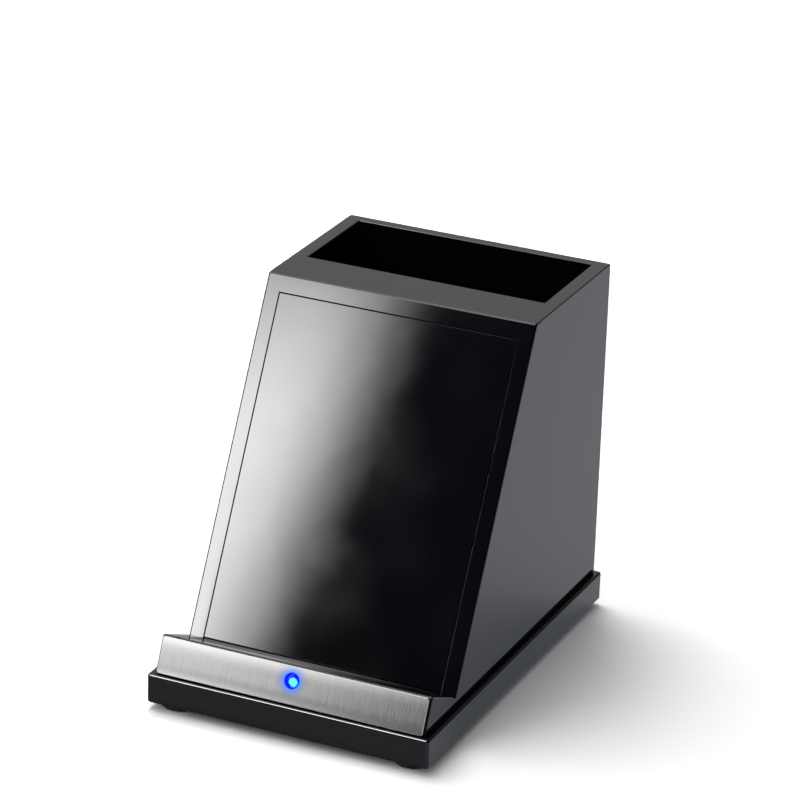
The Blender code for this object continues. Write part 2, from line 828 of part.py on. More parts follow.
def coil_points():
    """The coil's wire: in from the board, out along the spiral, and back to the board."""
    level = Vector((0, coil_rise, -coil_depth))
    end_angle = -math.pi / 2 - coil_outlet_run / coil_radius
    start_angle = end_angle - 2 * math.pi * coil_turns
    total = coil_turns * coil_loop_points
    spiral = []
    for k in range(total + 1):
        radius = coil_inner_radius + coil_pitch * k / coil_loop_points
        spiral.append(level + polar(radius, start_angle + 2 * math.pi * k / coil_loop_points))
    drop = Vector((0, 0, -coil_bend))
    foot_depth = Vector((0, 0, coil_depth - board_front + seam))
    narrowing = coil_inner_radius - coil_hook_radius
    hook = []
    for turn_share, narrowing_share, drop_share in coil_hook_shares:
        radius = coil_hook_radius + narrowing * narrowing_share
        hook.append(level + polar(radius, start_angle - turn_share) + drop * drop_share)
    inner_foot = level + polar(coil_hook_radius, start_angle - coil_hook_shares[0][0])
    outlet = []
    for reach_share, drop_share in coil_outlet_shares:
        angle = end_angle + coil_outlet_run * reach_share / coil_radius
        place = polar(coil_radius + coil_outlet_reach * reach_share, angle)
        outlet.append(level + place + drop * drop_share)
    outer_foot = level + polar(coil_radius + coil_outlet_reach, -math.pi / 2)
    into = smooth_route([inner_foot + foot_depth, *hook, spiral[0]], coil_wire)
    out_of = smooth_route([spiral[-1], *outlet, outer_foot + foot_depth], coil_wire)
    return into[:-1] + spiral + out_of[1:], spiral


def gap_between_turns(spiral):
    """The least distance between the wire's surfaces on neighbouring turns."""
    near = coil_loop_points // 2
    least = min(
        (spiral[k] - spiral[other]).length
        for k in range(len(spiral))
        for other in range(k + near, len(spiral))
    )
    return least - coil_wire


def make_coil():
    """The charging coil, one unbroken wire, in the panel's pocket."""
    points, spiral = coil_points()
    gap = gap_between_turns(spiral)
    print(f"charging_coil: {coil_turns} turns, least gap {gap * 1000:.3f} mm")
    if gap < least_coil_gap:
        print("charging_coil: the turns lie closer than they should")
    tube("charging_coil", points, coil_wire, 1, enamelled_copper, slope_frame)


def outer_lead_place():
    """Where the coil's outer end passes back through the ferrite and the tray."""
    return (0, coil_rise - coil_radius - coil_outlet_reach)


def make_ferrite():
    """The ferrite disc behind the coil, with an eye and a notch for the coil's ends."""
    outline = circle(ferrite_radius, 56)
    eye = circle(ferrite_eye_radius, 24)
    place = (0, coil_rise, -ferrite_front - ferrite_thickness / 2)
    disc = slab("ferrite_disc", [outline, eye], ferrite_thickness, grey_ferrite, slope_frame, place)
    x, rise = outer_lead_place()
    low = (x - lead_hole_radius, rise - ferrite_radius, -tray_back)
    high = (x + lead_hole_radius, rise + lead_hole_radius, -pocket_floor)
    cut(disc, box("ferrite_notch", low, high, None, slope_frame))


def tray_screw_places():
    reach = tray_width / 2 - tray_screw_inset
    return [
        ("tray_screw_low_left", -reach, coil_rise - reach),
        ("tray_screw_low_right", reach, coil_rise - reach),
        ("tray_screw_high_left", -reach, coil_rise + reach),
        ("tray_screw_high_right", reach, coil_rise + reach),
    ]


def board_screw_places():
    across = board_width / 2 - board_screw_inset
    up = board_height / 2 - board_screw_inset
    middle = coil_rise - board_drop
    return [
        ("board_screw_low_left", -across, middle - up),
        ("board_screw_low_right", across, middle - up),
        ("board_screw_high_left", -across, middle + up),
        ("board_screw_high_right", across, middle + up),
    ]


def make_tray():
    """The moulded tray that holds the ferrite to the panel and carries the charger board."""
    outline = rounded_rectangle(tray_width, tray_width, tray_corner_radius)
    eye = circle(ferrite_eye_radius, 24)
    x, rise = outer_lead_place()
    holes = [eye, circle(lead_hole_radius, 12, (x, rise - coil_rise))]
    for name, x, rise in tray_screw_places():
        holes.append(circle(tray_screw_radius + seam, 12, (x, rise - coil_rise)))
    middle = (0, coil_rise, -tray_front - tray_thickness / 2)
    tray = slab("coil_tray", [outline, *holes], tray_thickness, tray_plastic, slope_frame, middle)
    root = -tray_back + tray_thickness / 2
    for name, x, rise in board_screw_places():
        join(tray, rod(name + "_post", post_radius, -post_end, root, 16, None, slope_frame, (x, rise)))
    recess_floor = -ferrite_back - seam
    radius = ferrite_radius + seam
    cut(tray, rod("ferrite_recess", radius, recess_floor, overrun, 56, None, slope_frame, (0, coil_rise)))
    for name, x, rise in board_screw_places():
        bore = board_screw_radius + seam
        deep = -board_screw_end + seam
        cut(tray, rod(name + "_bore", bore, -post_end - overrun, deep, 12, None, slope_frame, (x, rise)))


def make_tray_screws():
    for name, x, rise in tray_screw_places():
        place = (x, rise, -tray_back - seam)
        head = (tray_screw_head_radius, tray_screw_head_height)
        screw(name, *head, tray_screw_radius, tray_screw_length, False, slope_frame, place, True)


def make_board_screws():
    for name, x, rise in board_screw_places():
        place = (x, rise, -board_back - seam)
        head = (board_screw_head_radius, board_screw_head_height)
        screw(name, *head, board_screw_radius, board_screw_length, False, slope_frame, place, True)


def board_place(share):
    """A place on the charger board, from the shares of its width and height."""
    return share[0] * board_width, coil_rise - board_drop + share[1] * board_height


def make_charger_board():
    """The charger board on the tray's posts."""
    outline = rounded_rectangle(board_width, board_height, board_corner_radius)
    middle_rise = coil_rise - board_drop
    holes = []
    for name, x, rise in board_screw_places():
        holes.append(circle(board_screw_radius + seam, 12, (x, rise - middle_rise)))
    middle = (0, middle_rise, -board_front - board_thickness / 2)
    slab("charger_board", [outline, *holes], board_thickness, green_laminate, slope_frame, middle)


def chip(name, share, width, height, thickness, material, offset=0.0):
    """A flat part on the back of the charger board."""
    x, rise = board_place(share)
    low = (x + offset - width / 2, rise - height / 2, -part_seat - thickness)
    return box(name, low, (x + offset + width / 2, rise + height / 2, -part_seat), material, slope_frame)


def make_board_parts():
    """The chips, capacitors and inductor on the back of the charger board."""
    control = (control_chip_width, control_chip_width, control_chip_thickness)
    chip("control_chip", control_chip_share, *control, chip_plastic)
    for name, share in zip(("upper", "lower"), bridge_chip_shares):
        bridge = (bridge_chip_width, bridge_chip_length, bridge_chip_thickness)
        chip(f"bridge_chip_{name}", share, *bridge, chip_plastic)
    for k in range(4):
        size = (resonance_width, resonance_length, resonance_thickness)
        offset = (k - 1.5) * resonance_pitch
        chip(f"resonance_capacitor_{k + 1}", resonance_share, *size, tan_ceramic, offset)
    size = (inductor_width, inductor_width, inductor_thickness)
    ease_all(chip("power_inductor", inductor_share, *size, grey_ferrite), inductor_edge, 1)
    x, rise = board_place(can_share)
    profile = [(0, can_height), (can_radius - can_edge_radius, can_height)]
    profile += [(can_radius, can_height - can_edge_radius), (can_radius, 0), (0, 0)]
    place = (x, rise, -part_seat)
    turned("input_capacitor", profile, 24, can_aluminium, slope_frame, place, (math.pi, 0, 0))


def inlet_screw_place(side):
    return side * inlet_screw_spacing / 2, inlet_board_front + inlet_screw_setback


def inlet_bore():
    """Radius, end and start of the hole for an inlet screw, through to its blind end in the base."""
    return board_screw_radius + seam, inlet_board_top - inlet_screw_length, inlet_board_top + overrun


def make_inlet():
    """The inlet's bracket and board, its screws, the socket's shell and its contact tongue."""
    middle_y = (inlet_board_front + inlet_board_rear) / 2
    outline = rounded_rectangle(inlet_board_width, inlet_board_length, board_corner_radius)
    middle = (0, middle_y, body_low + bracket_thickness / 2)
    bracket = slab("inlet_bracket", [outline], bracket_thickness, tray_plastic, None, middle)
    boss_top = body_low + bracket_thickness + bracket_boss_height
    holes = []
    root = body_low + bracket_thickness / 2
    for name, side in (("left", -1), ("right", 1)):
        x, y = inlet_screw_place(side)
        boss = rod(f"inlet_boss_{name}", bracket_boss_radius, root, boss_top, 16, None, None, (x, y))
        join(bracket, boss)
        cut(bracket, rod(f"inlet_bore_{name}", *inlet_bore(), 12, None, None, (x, y)))
        holes.append(circle(board_screw_radius + seam, 12, (x, y - middle_y)))
        place = (x, y, inlet_board_top + seam)
        head = (board_screw_head_radius, board_screw_head_height)
        screw(f"inlet_screw_{name}", *head, board_screw_radius, inlet_screw_length, False, None, place, False)
    middle = (0, middle_y, inlet_board_low + inlet_board_thickness / 2)
    slab("inlet_board", [outline, *holes], inlet_board_thickness, green_laminate, None, middle)
    mouth = body_rear_y - socket_setback
    upright = (math.pi / 2, 0, 0)
    inside = stadium(socket_width - 2 * socket_wall, socket_height - 2 * socket_wall)
    shell = [stadium(socket_width, socket_height), inside]
    place = (0, mouth - socket_length / 2, socket_middle)
    slab("inlet_shell", shell, socket_length, bright_tin, None, place, upright)
    root_gap = socket_wall + seam
    root = stadium(socket_width - 2 * root_gap, socket_height - 2 * root_gap)
    back = mouth - socket_length
    place = (0, back + tongue_root_length / 2, socket_middle)
    tongue = slab("inlet_tongue", [root], tongue_root_length, chip_plastic, None, place, upright)
    low = (-tongue_width / 2, back + tongue_root_length / 2, socket_middle - tongue_thickness / 2)
    high = (tongue_width / 2, back + tongue_root_length + tongue_length, socket_middle + tongue_thickness / 2)
    join(tongue, box("tongue_blade", low, high, None))


def make_light_leads():
    """Two thin leads from the charger board, down behind the panel and along the front groove."""
    pad_x, pad_rise = board_place(light_pad_share)
    level = base_top - lead_groove_depth / 2
    slot_back = light_wall + light_slot_depth - seam - light_lead / 2
    for name, side in (("plus", 1), ("minus", -1)):
        x = side * light_lead_spacing / 2
        start = light_board_back + seam
        turn_y = place_in(lip_frame, 0, 0, slot_back).y
        route = [
            place_in(lip_frame, x, light_rise, start),
            place_in(lip_frame, x, light_rise, start + light_lead),
            place_in(lip_frame, x, light_rise - light_board_height / 2, slot_back),
            Vector((x, turn_y + light_lead * 3, level)),
            Vector((x, turn_y + light_lead * 7, level)),
            Vector((x, light_groove_end - lead_groove_width - light_lead * 5, level)),
            Vector((x, light_groove_end - lead_groove_width, level)),
            Vector((x + pad_x / 2, light_groove_end + light_lead * 2, base_top + light_lead * 6)),
            place_in(slope_frame, x + pad_x, pad_rise - board_height / 5, part_seat + light_lead * 6),
            place_in(slope_frame, x + pad_x, pad_rise - light_lead, part_seat + light_lead * 3),
            place_in(slope_frame, x + pad_x, pad_rise, part_seat + light_lead),
            place_in(slope_frame, x + pad_x, pad_rise, part_seat),
        ]
        points = smooth_route(route, light_lead * lead_point_share)
        tube(f"light_lead_{name}", points, light_lead, 2, red_lead if side > 0 else black_lead)


def make_power_leads():
    """Two leads from the inlet board, along the rear groove under the bay wall, up to the charger."""
    pad_x, pad_rise = board_place(power_pad_share)
    level = base_top - lead_groove_depth / 2
    for name, side in (("plus", 1), ("minus", -1)):
        x = side * power_lead_spacing / 2
        start_y = inlet_board_front + power_lead * 1.5
        start = inlet_board_top + seam
        route = [
            Vector((x, start_y, start)),
            Vector((x, start_y, start + power_lead)),
            Vector((x, start_y - power_lead * 2, start + power_lead * 1.6)),
            Vector((x, power_groove_end - lead_groove_width, level)),
            Vector((x, power_groove_end - lead_groove_width - power_lead * 3, level)),
            Vector((x, power_groove_start + lead_groove_width + power_lead * 3, level)),
            Vector((x, power_groove_start + lead_groove_width, level)),
            Vector((x + pad_x / 2, power_groove_start - power_lead, base_top + power_lead * 6)),
            place_in(slope_frame, x + pad_x, pad_rise - board_height / 5, part_seat + power_lead * 6),
            place_in(slope_frame, x + pad_x, pad_rise - power_lead, part_seat + power_lead * 3),
            place_in(slope_frame, x + pad_x, pad_rise, part_seat + power_lead),
            place_in(slope_frame, x + pad_x, pad_rise, part_seat),
        ]
        points = smooth_route(route, power_lead * lead_point_share)
        tube(f"power_lead_{name}", points, power_lead, 2, red_lead if side > 0 else black_lead)


# Places that need the frames and functions above
front_block_y = slope_y(body_low + front_block_height) + panel_run + seam + front_block_setback
rear_block_y = bay_rear_y - seam - rear_block_setback - block_length
tray_screw_end = tray_back + seam - tray_screw_length
board_screw_end = board_back + seam - board_screw_length
light_groove_start = place_in(lip_frame, 0, 0, light_wall + light_slot_depth).y - lead_groove_width / 2
light_groove_end = slope_y(body_low) + panel_run + lead_groove_width * 1.5
power_groove_end = inlet_board_front - seam
power_groove_start = bay_front_y - bay_wall_thickness - lead_groove_width

make_base()
make_feet()
make_sides()
make_rear_panel()
make_top_rail()
make_bay_wall()
make_bay_floor()
make_charging_panel()
make_lip_bar()
make_steel_strip()
make_status_light()
make_glue_blocks()
make_base_screws()
make_cleats()
make_coil()
make_ferrite()
make_tray()
make_tray_screws()
make_charger_board()
make_board_screws()
make_board_parts()
make_inlet()
make_light_leads()
make_power_leads()
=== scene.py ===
"""The looks of a wireless charging stand with a pen bay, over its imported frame. Sizes are in metres."""

import math

import bmesh
import bpy
from mathutils import Matrix, Quaternion, Vector, noise


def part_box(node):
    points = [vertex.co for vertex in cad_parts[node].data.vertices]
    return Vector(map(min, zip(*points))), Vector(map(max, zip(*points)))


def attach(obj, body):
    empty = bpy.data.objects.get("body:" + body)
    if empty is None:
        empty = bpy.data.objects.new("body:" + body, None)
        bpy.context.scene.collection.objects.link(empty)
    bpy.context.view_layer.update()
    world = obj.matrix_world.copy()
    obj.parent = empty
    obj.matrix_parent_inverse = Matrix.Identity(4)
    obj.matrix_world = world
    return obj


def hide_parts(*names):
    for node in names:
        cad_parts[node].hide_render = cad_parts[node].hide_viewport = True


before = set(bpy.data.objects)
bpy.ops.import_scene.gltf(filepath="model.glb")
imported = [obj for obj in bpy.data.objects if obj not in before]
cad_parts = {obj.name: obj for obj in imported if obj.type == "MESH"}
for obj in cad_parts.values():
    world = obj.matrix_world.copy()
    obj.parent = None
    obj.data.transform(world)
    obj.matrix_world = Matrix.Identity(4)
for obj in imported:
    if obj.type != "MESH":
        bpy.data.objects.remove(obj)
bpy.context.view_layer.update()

# The base board is fibreboard with rounded corners and eased edges, sprayed with gloss black lacquer.
# It is a little wider than the body. Four screw holes are sunk in its underside, and two grooves for
# the leads are routed in its top.
base_low, base_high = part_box("base_board")
corner_names = ("front_left", "front_right", "rear_left", "rear_right")
base_corner_radius = 0.001
base_arris = 0.0008
screw_head_room = 0.0003
screw_shank_room = 0.0018
screw_cone_height = 0.0016
groove_width = 0.008
groove_depth = 0.0025
groove_reach_share = 1.5
overrun = 0.002
same_place = 0.00001
sharp_angle = math.radians(35)
flat_on = Matrix.Identity(4)


def shader_of(material):
    return material.node_tree.nodes["Principled BSDF"]


def new_finish(name, colour, roughness, metallic=0, **settings):
    """A material in one colour, with any other sockets of its shader set by name."""
    material = bpy.data.materials.new(name)
    material["slot"] = name
    material.use_nodes = True
    plain = {"Base Color": (*colour, 1), "Roughness": roughness, "Metallic": metallic}
    for socket, value in {**plain, **settings}.items():
        shader_of(material).inputs[socket].default_value = value
    return material


def add_pattern(material, kind, scale, stretch=(1, 1, 1), **settings):
    """A pattern fixed to the piece, with so many blotches to the metre, times the stretch each way."""
    nodes = material.node_tree.nodes
    place = nodes.new("ShaderNodeTexCoord")
    mapping = nodes.new("ShaderNodeMapping")
    mapping.inputs["Scale"].default_value = stretch
    texture = nodes.new(kind)
    texture.inputs["Scale"].default_value = scale
    for socket, value in settings.items():
        texture.inputs[socket].default_value = value
    material.node_tree.links.new(place.outputs["Object"], mapping.inputs["Vector"])
    material.node_tree.links.new(mapping.outputs["Vector"], texture.inputs["Vector"])
    return texture.outputs[0]


def add_noise(material, scale, stretch=(1, 1, 1), detail=2, distortion=0):
    """A cloudy pattern, finer with more detail and more ragged with distortion."""
    kind = "ShaderNodeTexNoise"
    return add_pattern(material, kind, scale, stretch, Detail=detail, Distortion=distortion)


def feed(tree, socket, value):
    """Links a socket to another one, or sets its number or colour."""
    if isinstance(value, bpy.types.NodeSocket):
        tree.links.new(value, socket)
    else:
        socket.default_value = value


def graded(tree, value, start, end, low=0.0, high=1.0, smooth=False):
    """A number that goes from low to high as a value goes from start to end."""
    grade = tree.nodes.new("ShaderNodeMapRange")
    if smooth:
        grade.interpolation_type = "SMOOTHSTEP"
    for socket, number in zip(("From Min", "From Max", "To Min", "To Max"), (start, end, low, high)):
        grade.inputs[socket].default_value = number
    feed(tree, grade.inputs["Value"], value)
    return grade.outputs["Result"]


def mixed(tree, share, low, high, kind="FLOAT", manner="MIX"):
    """A number or a colour from low to high by a share, where any of the three may be a socket."""
    blend = tree.nodes.new("ShaderNodeMix")
    blend.data_type = kind
    blend.blend_type = manner
    for socket, value in (("Factor", share), ("A", low), ("B", high)):
        feed(tree, blend.inputs[socket], value)
    return blend.outputs["Result"]


def vary(material, socket, pattern, low, high, least=0.3, most=0.7):
    """Runs a number or colour of the shader from low to high, as a pattern goes from least to most."""
    tree = material.node_tree
    if isinstance(low, tuple):
        made = mixed(tree, graded(tree, pattern, least, most), (*low, 1), (*high, 1), "RGBA")
    else:
        made = graded(tree, pattern, least, most, low, high)
    tree.links.new(made, shader_of(material).inputs[socket])


def cloud(material, socket, low, high, **pattern):
    """Varies a number or colour of the shader by a cloudy pattern of its own, and returns the pattern."""
    clouds = add_noise(material, **pattern)
    vary(material, socket, clouds, low, high)
    return clouds


def emboss(material, pattern, depth):
    """Raises the surface by a pattern, on top of any raising that it has already."""
    tree = material.node_tree
    normal = shader_of(material).inputs["Normal"]
    bump = tree.nodes.new("ShaderNodeBump")
    bump.inputs["Distance"].default_value = depth
    if normal.is_linked:
        tree.links.new(normal.links[0].from_socket, bump.inputs["Normal"])
    tree.links.new(pattern, bump.inputs["Height"])
    tree.links.new(bump.outputs["Normal"], normal)


black_lacquer = new_finish("black_lacquer", (0.006, 0.0055, 0.01), roughness=0.05, IOR=1.5)
cloud(black_lacquer, "Roughness", low=0.035, high=0.075, scale=45)
lacquer_flow = add_noise(black_lacquer, scale=70, detail=1)
emboss(black_lacquer, lacquer_flow, depth=0.00001)
lacquer_dust = add_noise(black_lacquer, scale=1400, detail=2)
emboss(black_lacquer, lacquer_dust, depth=0.0000002)


def rounded_outline(corners, radii, steps=6):
    """The corners of an outline, each with an arc of its own radius, or sharp where that is zero."""
    points = []
    for k, (corner, radius) in enumerate(zip(corners, radii)):
        corner = Vector(corner)
        if radius == 0:
            points.append(tuple(corner))
            continue
        before = (Vector(corners[k - 1]) - corner).normalized()
        after = (Vector(corners[(k + 1) % len(corners)]) - corner).normalized()
        half_angle = before.angle(after) / 2
        middle = corner + (before + after).normalized() * radius / math.sin(half_angle)
        reach = radius / math.tan(half_angle)
        start = (corner + before * reach - middle).normalized()
        end = (corner + after * reach - middle).normalized()
        for step in range(steps + 1):
            points.append(tuple(middle + start.slerp(end, step / steps) * radius))
    return points


def rounded_rectangle(low, high, radius, steps=6):
    corners = [(high[0], high[1]), (low[0], high[1]), (low[0], low[1]), (high[0], low[1])]
    return rounded_outline(corners, [radius] * len(corners), steps)


def stadium(middle, width, height, steps=12):
    """A slot's outline, with half-round ends, longest in x."""
    radius = height / 2
    reach = width / 2 - radius
    points = []
    for side in (1, -1):
        for step in range(steps + 1):
            angle = math.pi * (step / steps - 0.5)
            across = side * (reach + radius * math.cos(angle))
            points.append((middle[0] + across, middle[1] + side * radius * math.sin(angle)))
    return points


def slab(outline, low, high, placed=flat_on):
    """A mesh from a flat outline, as thick as from low to high, and then placed by a matrix."""
    work = bmesh.new()
    face = work.faces.new([work.verts.new((x, y, low)) for x, y in outline])
    grown = bmesh.ops.extrude_face_region(work, geom=[face])
    top = [item for item in grown["geom"] if isinstance(item, bmesh.types.BMVert)]
    bmesh.ops.translate(work, vec=(0, 0, high - low), verts=top)
    return mesh_from(work, placed)


def turned(profile, placed=flat_on, steps=64):
    """A mesh turned about z from a profile of (radius, height), which runs from axis to axis."""
    work = bmesh.new()
    line = [work.verts.new((radius, 0, height)) for radius, height in profile]
    edges = [work.edges.new(pair) for pair in zip(line, line[1:])]
    round_z = {"cent": (0, 0, 0), "axis": (0, 0, 1), "angle": 2 * math.pi}
    bmesh.ops.spin(work, geom=line + edges, steps=steps, use_merge=True, **round_z)
    bmesh.ops.remove_doubles(work, verts=work.verts, dist=same_place)
    return mesh_from(work, placed)


def smoothed(mesh):
    """A mesh shaded smooth between its sharp edges."""
    mesh.shade_smooth()
    mesh.set_sharp_from_angle(angle=sharp_angle)
    return mesh


def mesh_from(work, placed=flat_on):
    """The mesh of a finished bmesh, with its faces pointing out."""
    work.transform(placed)
    bmesh.ops.recalc_face_normals(work, faces=work.faces)
    mesh = bpy.data.meshes.new("made")
    work.to_mesh(mesh)
    work.free()
    return smoothed(mesh)


def set_out(name, data):
    """A new object in the scene."""
    made = bpy.data.objects.new(name, data)
    bpy.context.scene.collection.objects.link(made)
    return made


def changed(mesh, kind, settings):
    """A mesh as one modifier leaves it."""
    carrier = set_out("carrier", mesh)
    modifier = carrier.modifiers.new(kind.lower(), kind)
    for name, value in settings.items():
        setattr(modifier, name, value)
    seen = carrier.evaluated_get(bpy.context.evaluated_depsgraph_get())
    made = bpy.data.meshes.new_from_object(seen)
    bpy.data.objects.remove(carrier)
    return smoothed(made)


def joined(mesh, other, operation):
    """A mesh after a boolean with another."""
    tool = set_out("tool", other)
    made = changed(mesh, "BOOLEAN", {"operation": operation, "solver": "EXACT", "object": tool})
    bpy.data.objects.remove(tool)
    return made


def cut(mesh, other):
    return joined(mesh, other, "DIFFERENCE")


def eased(mesh, width, share_of=None, segments=4):
    """Rounds the sharp edges, each by a share of the width that share_of gives for its two ends."""
    work = bmesh.new()
    work.from_mesh(mesh)
    layers = work.edges.layers.float
    weights = layers.get("bevel_weight_edge") or layers.new("bevel_weight_edge")
    for edge in work.edges:
        sharp = edge.calc_face_angle(0) > sharp_angle
        share = share_of(*(vertex.co for vertex in edge.verts)) if share_of else 1
        edge[weights] = share if sharp else 0
    work.to_mesh(mesh)
    work.free()
    settings = {"width": width, "segments": segments, "limit_method": "WEIGHT"}
    return changed(mesh, "BEVEL", {**settings, "use_clamp_overlap": False})


def add_piece(name, mesh, material, *nodes):
    """A piece of the object in its finish, riding on the one body and standing for these nodes."""
    piece = set_out(name, mesh)
    mesh.name = name
    mesh.materials.clear()
    mesh.materials.append(material)
    flat_faces = piece.modifiers.new("flat_faces", "WEIGHTED_NORMAL")
    flat_faces.keep_sharp = True
    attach(piece, "root")
    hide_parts(*nodes)
    return piece


base_outline = rounded_rectangle(base_low, base_high, base_corner_radius)
base = eased(slab(base_outline, base_low.z, base_high.z), base_arris, segments=6)
for corner in corner_names:
    screw_low, screw_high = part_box(f"base_screw_{corner}")
    middle = (screw_low + screw_high) / 2
    head_radius = (screw_high.x - screw_low.x) / 2 + screw_head_room
    cone = [
        (0, base_low.z - overrun),
        (head_radius, base_low.z - overrun),
        (head_radius, screw_low.z),
        (screw_shank_room, screw_low.z + screw_cone_height),
        (screw_shank_room, base_high.z + overrun),
        (0, base_high.z + overrun),
    ]
    base = cut(base, turned(cone, Matrix.Translation((middle.x, middle.y, 0)), steps=32))
light_lead_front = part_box("light_lead_plus")[0].y
lip_bar_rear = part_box("lip_bar")[1].y
bay_wall_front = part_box("bay_wall")[0].y
grooves = [
    (light_lead_front - groove_width / 2, lip_bar_rear + groove_width * groove_reach_share),
    (bay_wall_front - groove_width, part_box("inlet_board")[0].y),
]
quarter_turn = Matrix.Rotation(math.pi / 2, 4, "Z")
for start, end in grooves:
    outline = stadium(((start + end) / 2, 0), end - start, groove_width)
    base = cut(base, slab(outline, base_high.z - groove_depth, base_high.z + overrun, quarter_turn))
base_piece = add_piece("base_board_lacquered", base, black_lacquer, "base_board")

# Four round rubber feet are stuck under the corners of the base. They are moulded with a rounded
# lower edge and a shallow dish underneath.
foot_edge_radius = 0.0007
foot_dish_radius = 0.004
foot_dish_depth = 0.0002
black_rubber = new_finish("black_rubber", (0.018, 0.018, 0.018), roughness=0.75)
cloud(black_rubber, "Roughness", low=0.6, high=0.85, scale=900)
emboss(black_rubber, add_noise(black_rubber, scale=4000), depth=0.00001)


def arc(middle, radius, start, end, steps=8):
    """Points of an arc in a profile, between two angles in degrees."""
    angles = [math.radians(start + (end - start) * step / steps) for step in range(steps + 1)]
    return [(middle[0] + radius * math.cos(a), middle[1] + radius * math.sin(a)) for a in angles]


for corner in corner_names:
    foot_low, foot_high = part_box(f"foot_{corner}")
    middle = (foot_low + foot_high) / 2
    foot_radius = (foot_high.x - foot_low.x) / 2
    profile = [(0, foot_high.z), (foot_radius, foot_high.z)]
    profile += arc((foot_radius - foot_edge_radius, foot_edge_radius), foot_edge_radius, 0, -90)
    profile += [(foot_dish_radius, 0), (foot_dish_radius - foot_dish_depth * 2, foot_dish_depth)]
    profile += [(0, foot_dish_depth)]
    foot = turned(profile, Matrix.Translation((middle.x, middle.y, 0)))
    add_piece(f"rubber_foot_{corner}", foot, black_rubber, f"foot_{corner}")

# The carcass is four boards glued edge to edge and lacquered as one, so that no joint shows: two side
# panels with the whole outline of the stand, the rear panel, and the top rail in front of the bay.
# Its outer edges are eased by hand sanding, and the ones inside are left crisp.
side_low, side_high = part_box("right_side_panel")
rail_low, rail_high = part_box("top_rail")
rear_low, rear_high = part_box("rear_panel")
wall_low, wall_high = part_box("bay_wall")
shell_low, shell_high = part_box("inlet_shell")
seam = 0.0003
front_step = 0.0015
lip_lean = 0.005
lip_rise = 0.01145
ledge_run = 0.0174
ledge_drop = 0.00775
slope_run = 0.0511
outline_radius = 0.0008
outer_arris = 0.0007
rim_share = 0.45
seam_share = 0.12
rear_skin = 0.0016
socket_pocket_margin = 0.0025
slot_arris = 0.0002
slot_reach_share = 1.5
slot_rise_share = 1.2
inner_half = side_low.x
body_half = side_high.x
lip_foot = Vector((base_low.y + front_step, base_high.z))
crest = lip_foot + Vector((lip_lean, lip_rise))
crease = crest + Vector((ledge_run, -ledge_drop))
brow = Vector((crease.x + slope_run, side_high.z))
slope_rise = brow.y - crease.y
sideways = Matrix(((0, 0, 1, 0), (1, 0, 0, 0), (0, 1, 0, 0), (0, 0, 0, 1)))


def rectangle(low, high):
    return [(low[0], low[1]), (high[0], low[1]), (high[0], high[1]), (low[0], high[1])]


def block(low, high, placed=flat_on):
    return slab(rectangle(low, high), low[2], high[2], placed)


def slope_y(height):
    """How far back the slanted face is at a height."""
    return crease.x + (height - crease.y) * slope_run / slope_rise


def lip_y(height):
    """How far back the front slope of the lip is at a height."""
    return lip_foot.x + (height - lip_foot.y) * lip_lean / lip_rise


def both_at(one, other, place):
    return max(abs(one - place), abs(other - place)) < same_place


def in_front(start, end):
    """Whether an edge lies on the slanted face or before it."""
    return max(start.y - slope_y(start.z), end.y - slope_y(end.z)) < same_place


def carcass_share(start, end):
    """How much of the outer easing an edge of the carcass gets."""
    at_foot = both_at(start.z, end.z, side_low.z)
    at_top = both_at(start.z, end.z, side_high.z)
    outside = both_at(abs(start.x), abs(end.x), body_half)
    if outside or (at_foot and both_at(start.y, end.y, side_high.y)):
        return rim_share if at_foot or at_top else 1
    if at_top:
        return rim_share
    beside_panel = both_at(abs(start.x), abs(end.x), inner_half) and not at_foot
    under_rail = both_at(start.z, end.z, rail_low.z)
    return seam_share if in_front(start, end) and (beside_panel or under_rail) else 0


corners = [(lip_y(side_low.z), side_low.z), crest, crease, brow]
corners += [(side_high.y, side_high.z), (side_high.y, side_low.z)]
outline = rounded_outline(corners, [0, outline_radius, 0, outline_radius, outline_radius, 0])
carcass = slab(outline, -body_half, body_half, sideways)
low = (-inner_half, base_low.y, side_low.z - overrun)
carcass = cut(carcass, block(low, (inner_half, rail_high.y + overrun, rail_low.z)))
low = (-inner_half, rail_high.y, side_low.z - overrun)
carcass = cut(carcass, block(low, (inner_half, rear_low.y, side_high.z + overrun)))
carcass = eased(carcass, outer_arris, carcass_share)
low = (wall_low.x - seam, wall_low.y - seam, wall_low.z - overrun)
high = (wall_high.x + seam, wall_high.y + seam, wall_high.z + seam)
carcass = cut(carcass, block(low, high))
pocket_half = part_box("inlet_board")[1].x + socket_pocket_margin
low = (-pocket_half, rear_low.y - overrun, side_low.z - overrun)
high = (pocket_half, rear_high.y - rear_skin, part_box("bay_floor")[0].z)
carcass = cut(carcass, block(low, high))
socket_middle = (shell_low.z + shell_high.z) / 2
slot = stadium((0, socket_middle), shell_high.x * 2 + seam * 2, shell_high.z - shell_low.z + seam * 2)
facing_back = Matrix(((-1, 0, 0, 0), (0, 0, 1, 0), (0, 1, 0, 0), (0, 0, 0, 1)))
slot_front = rear_high.y - rear_skin - overrun
carcass = cut(carcass, slab(slot, slot_front, rear_high.y + overrun, facing_back))


def slot_share(start, end):
    """One for the edges round the mouth of the inlet's slot, and zero elsewhere."""
    beside = max(abs(start.x), abs(end.x)) < shell_high.x * slot_reach_share
    below = max(start.z, end.z) < shell_high.z * slot_rise_share
    above_foot = min(start.z, end.z) > side_low.z + overrun
    return 1 if beside and below and above_foot and both_at(start.y, end.y, rear_high.y) else 0


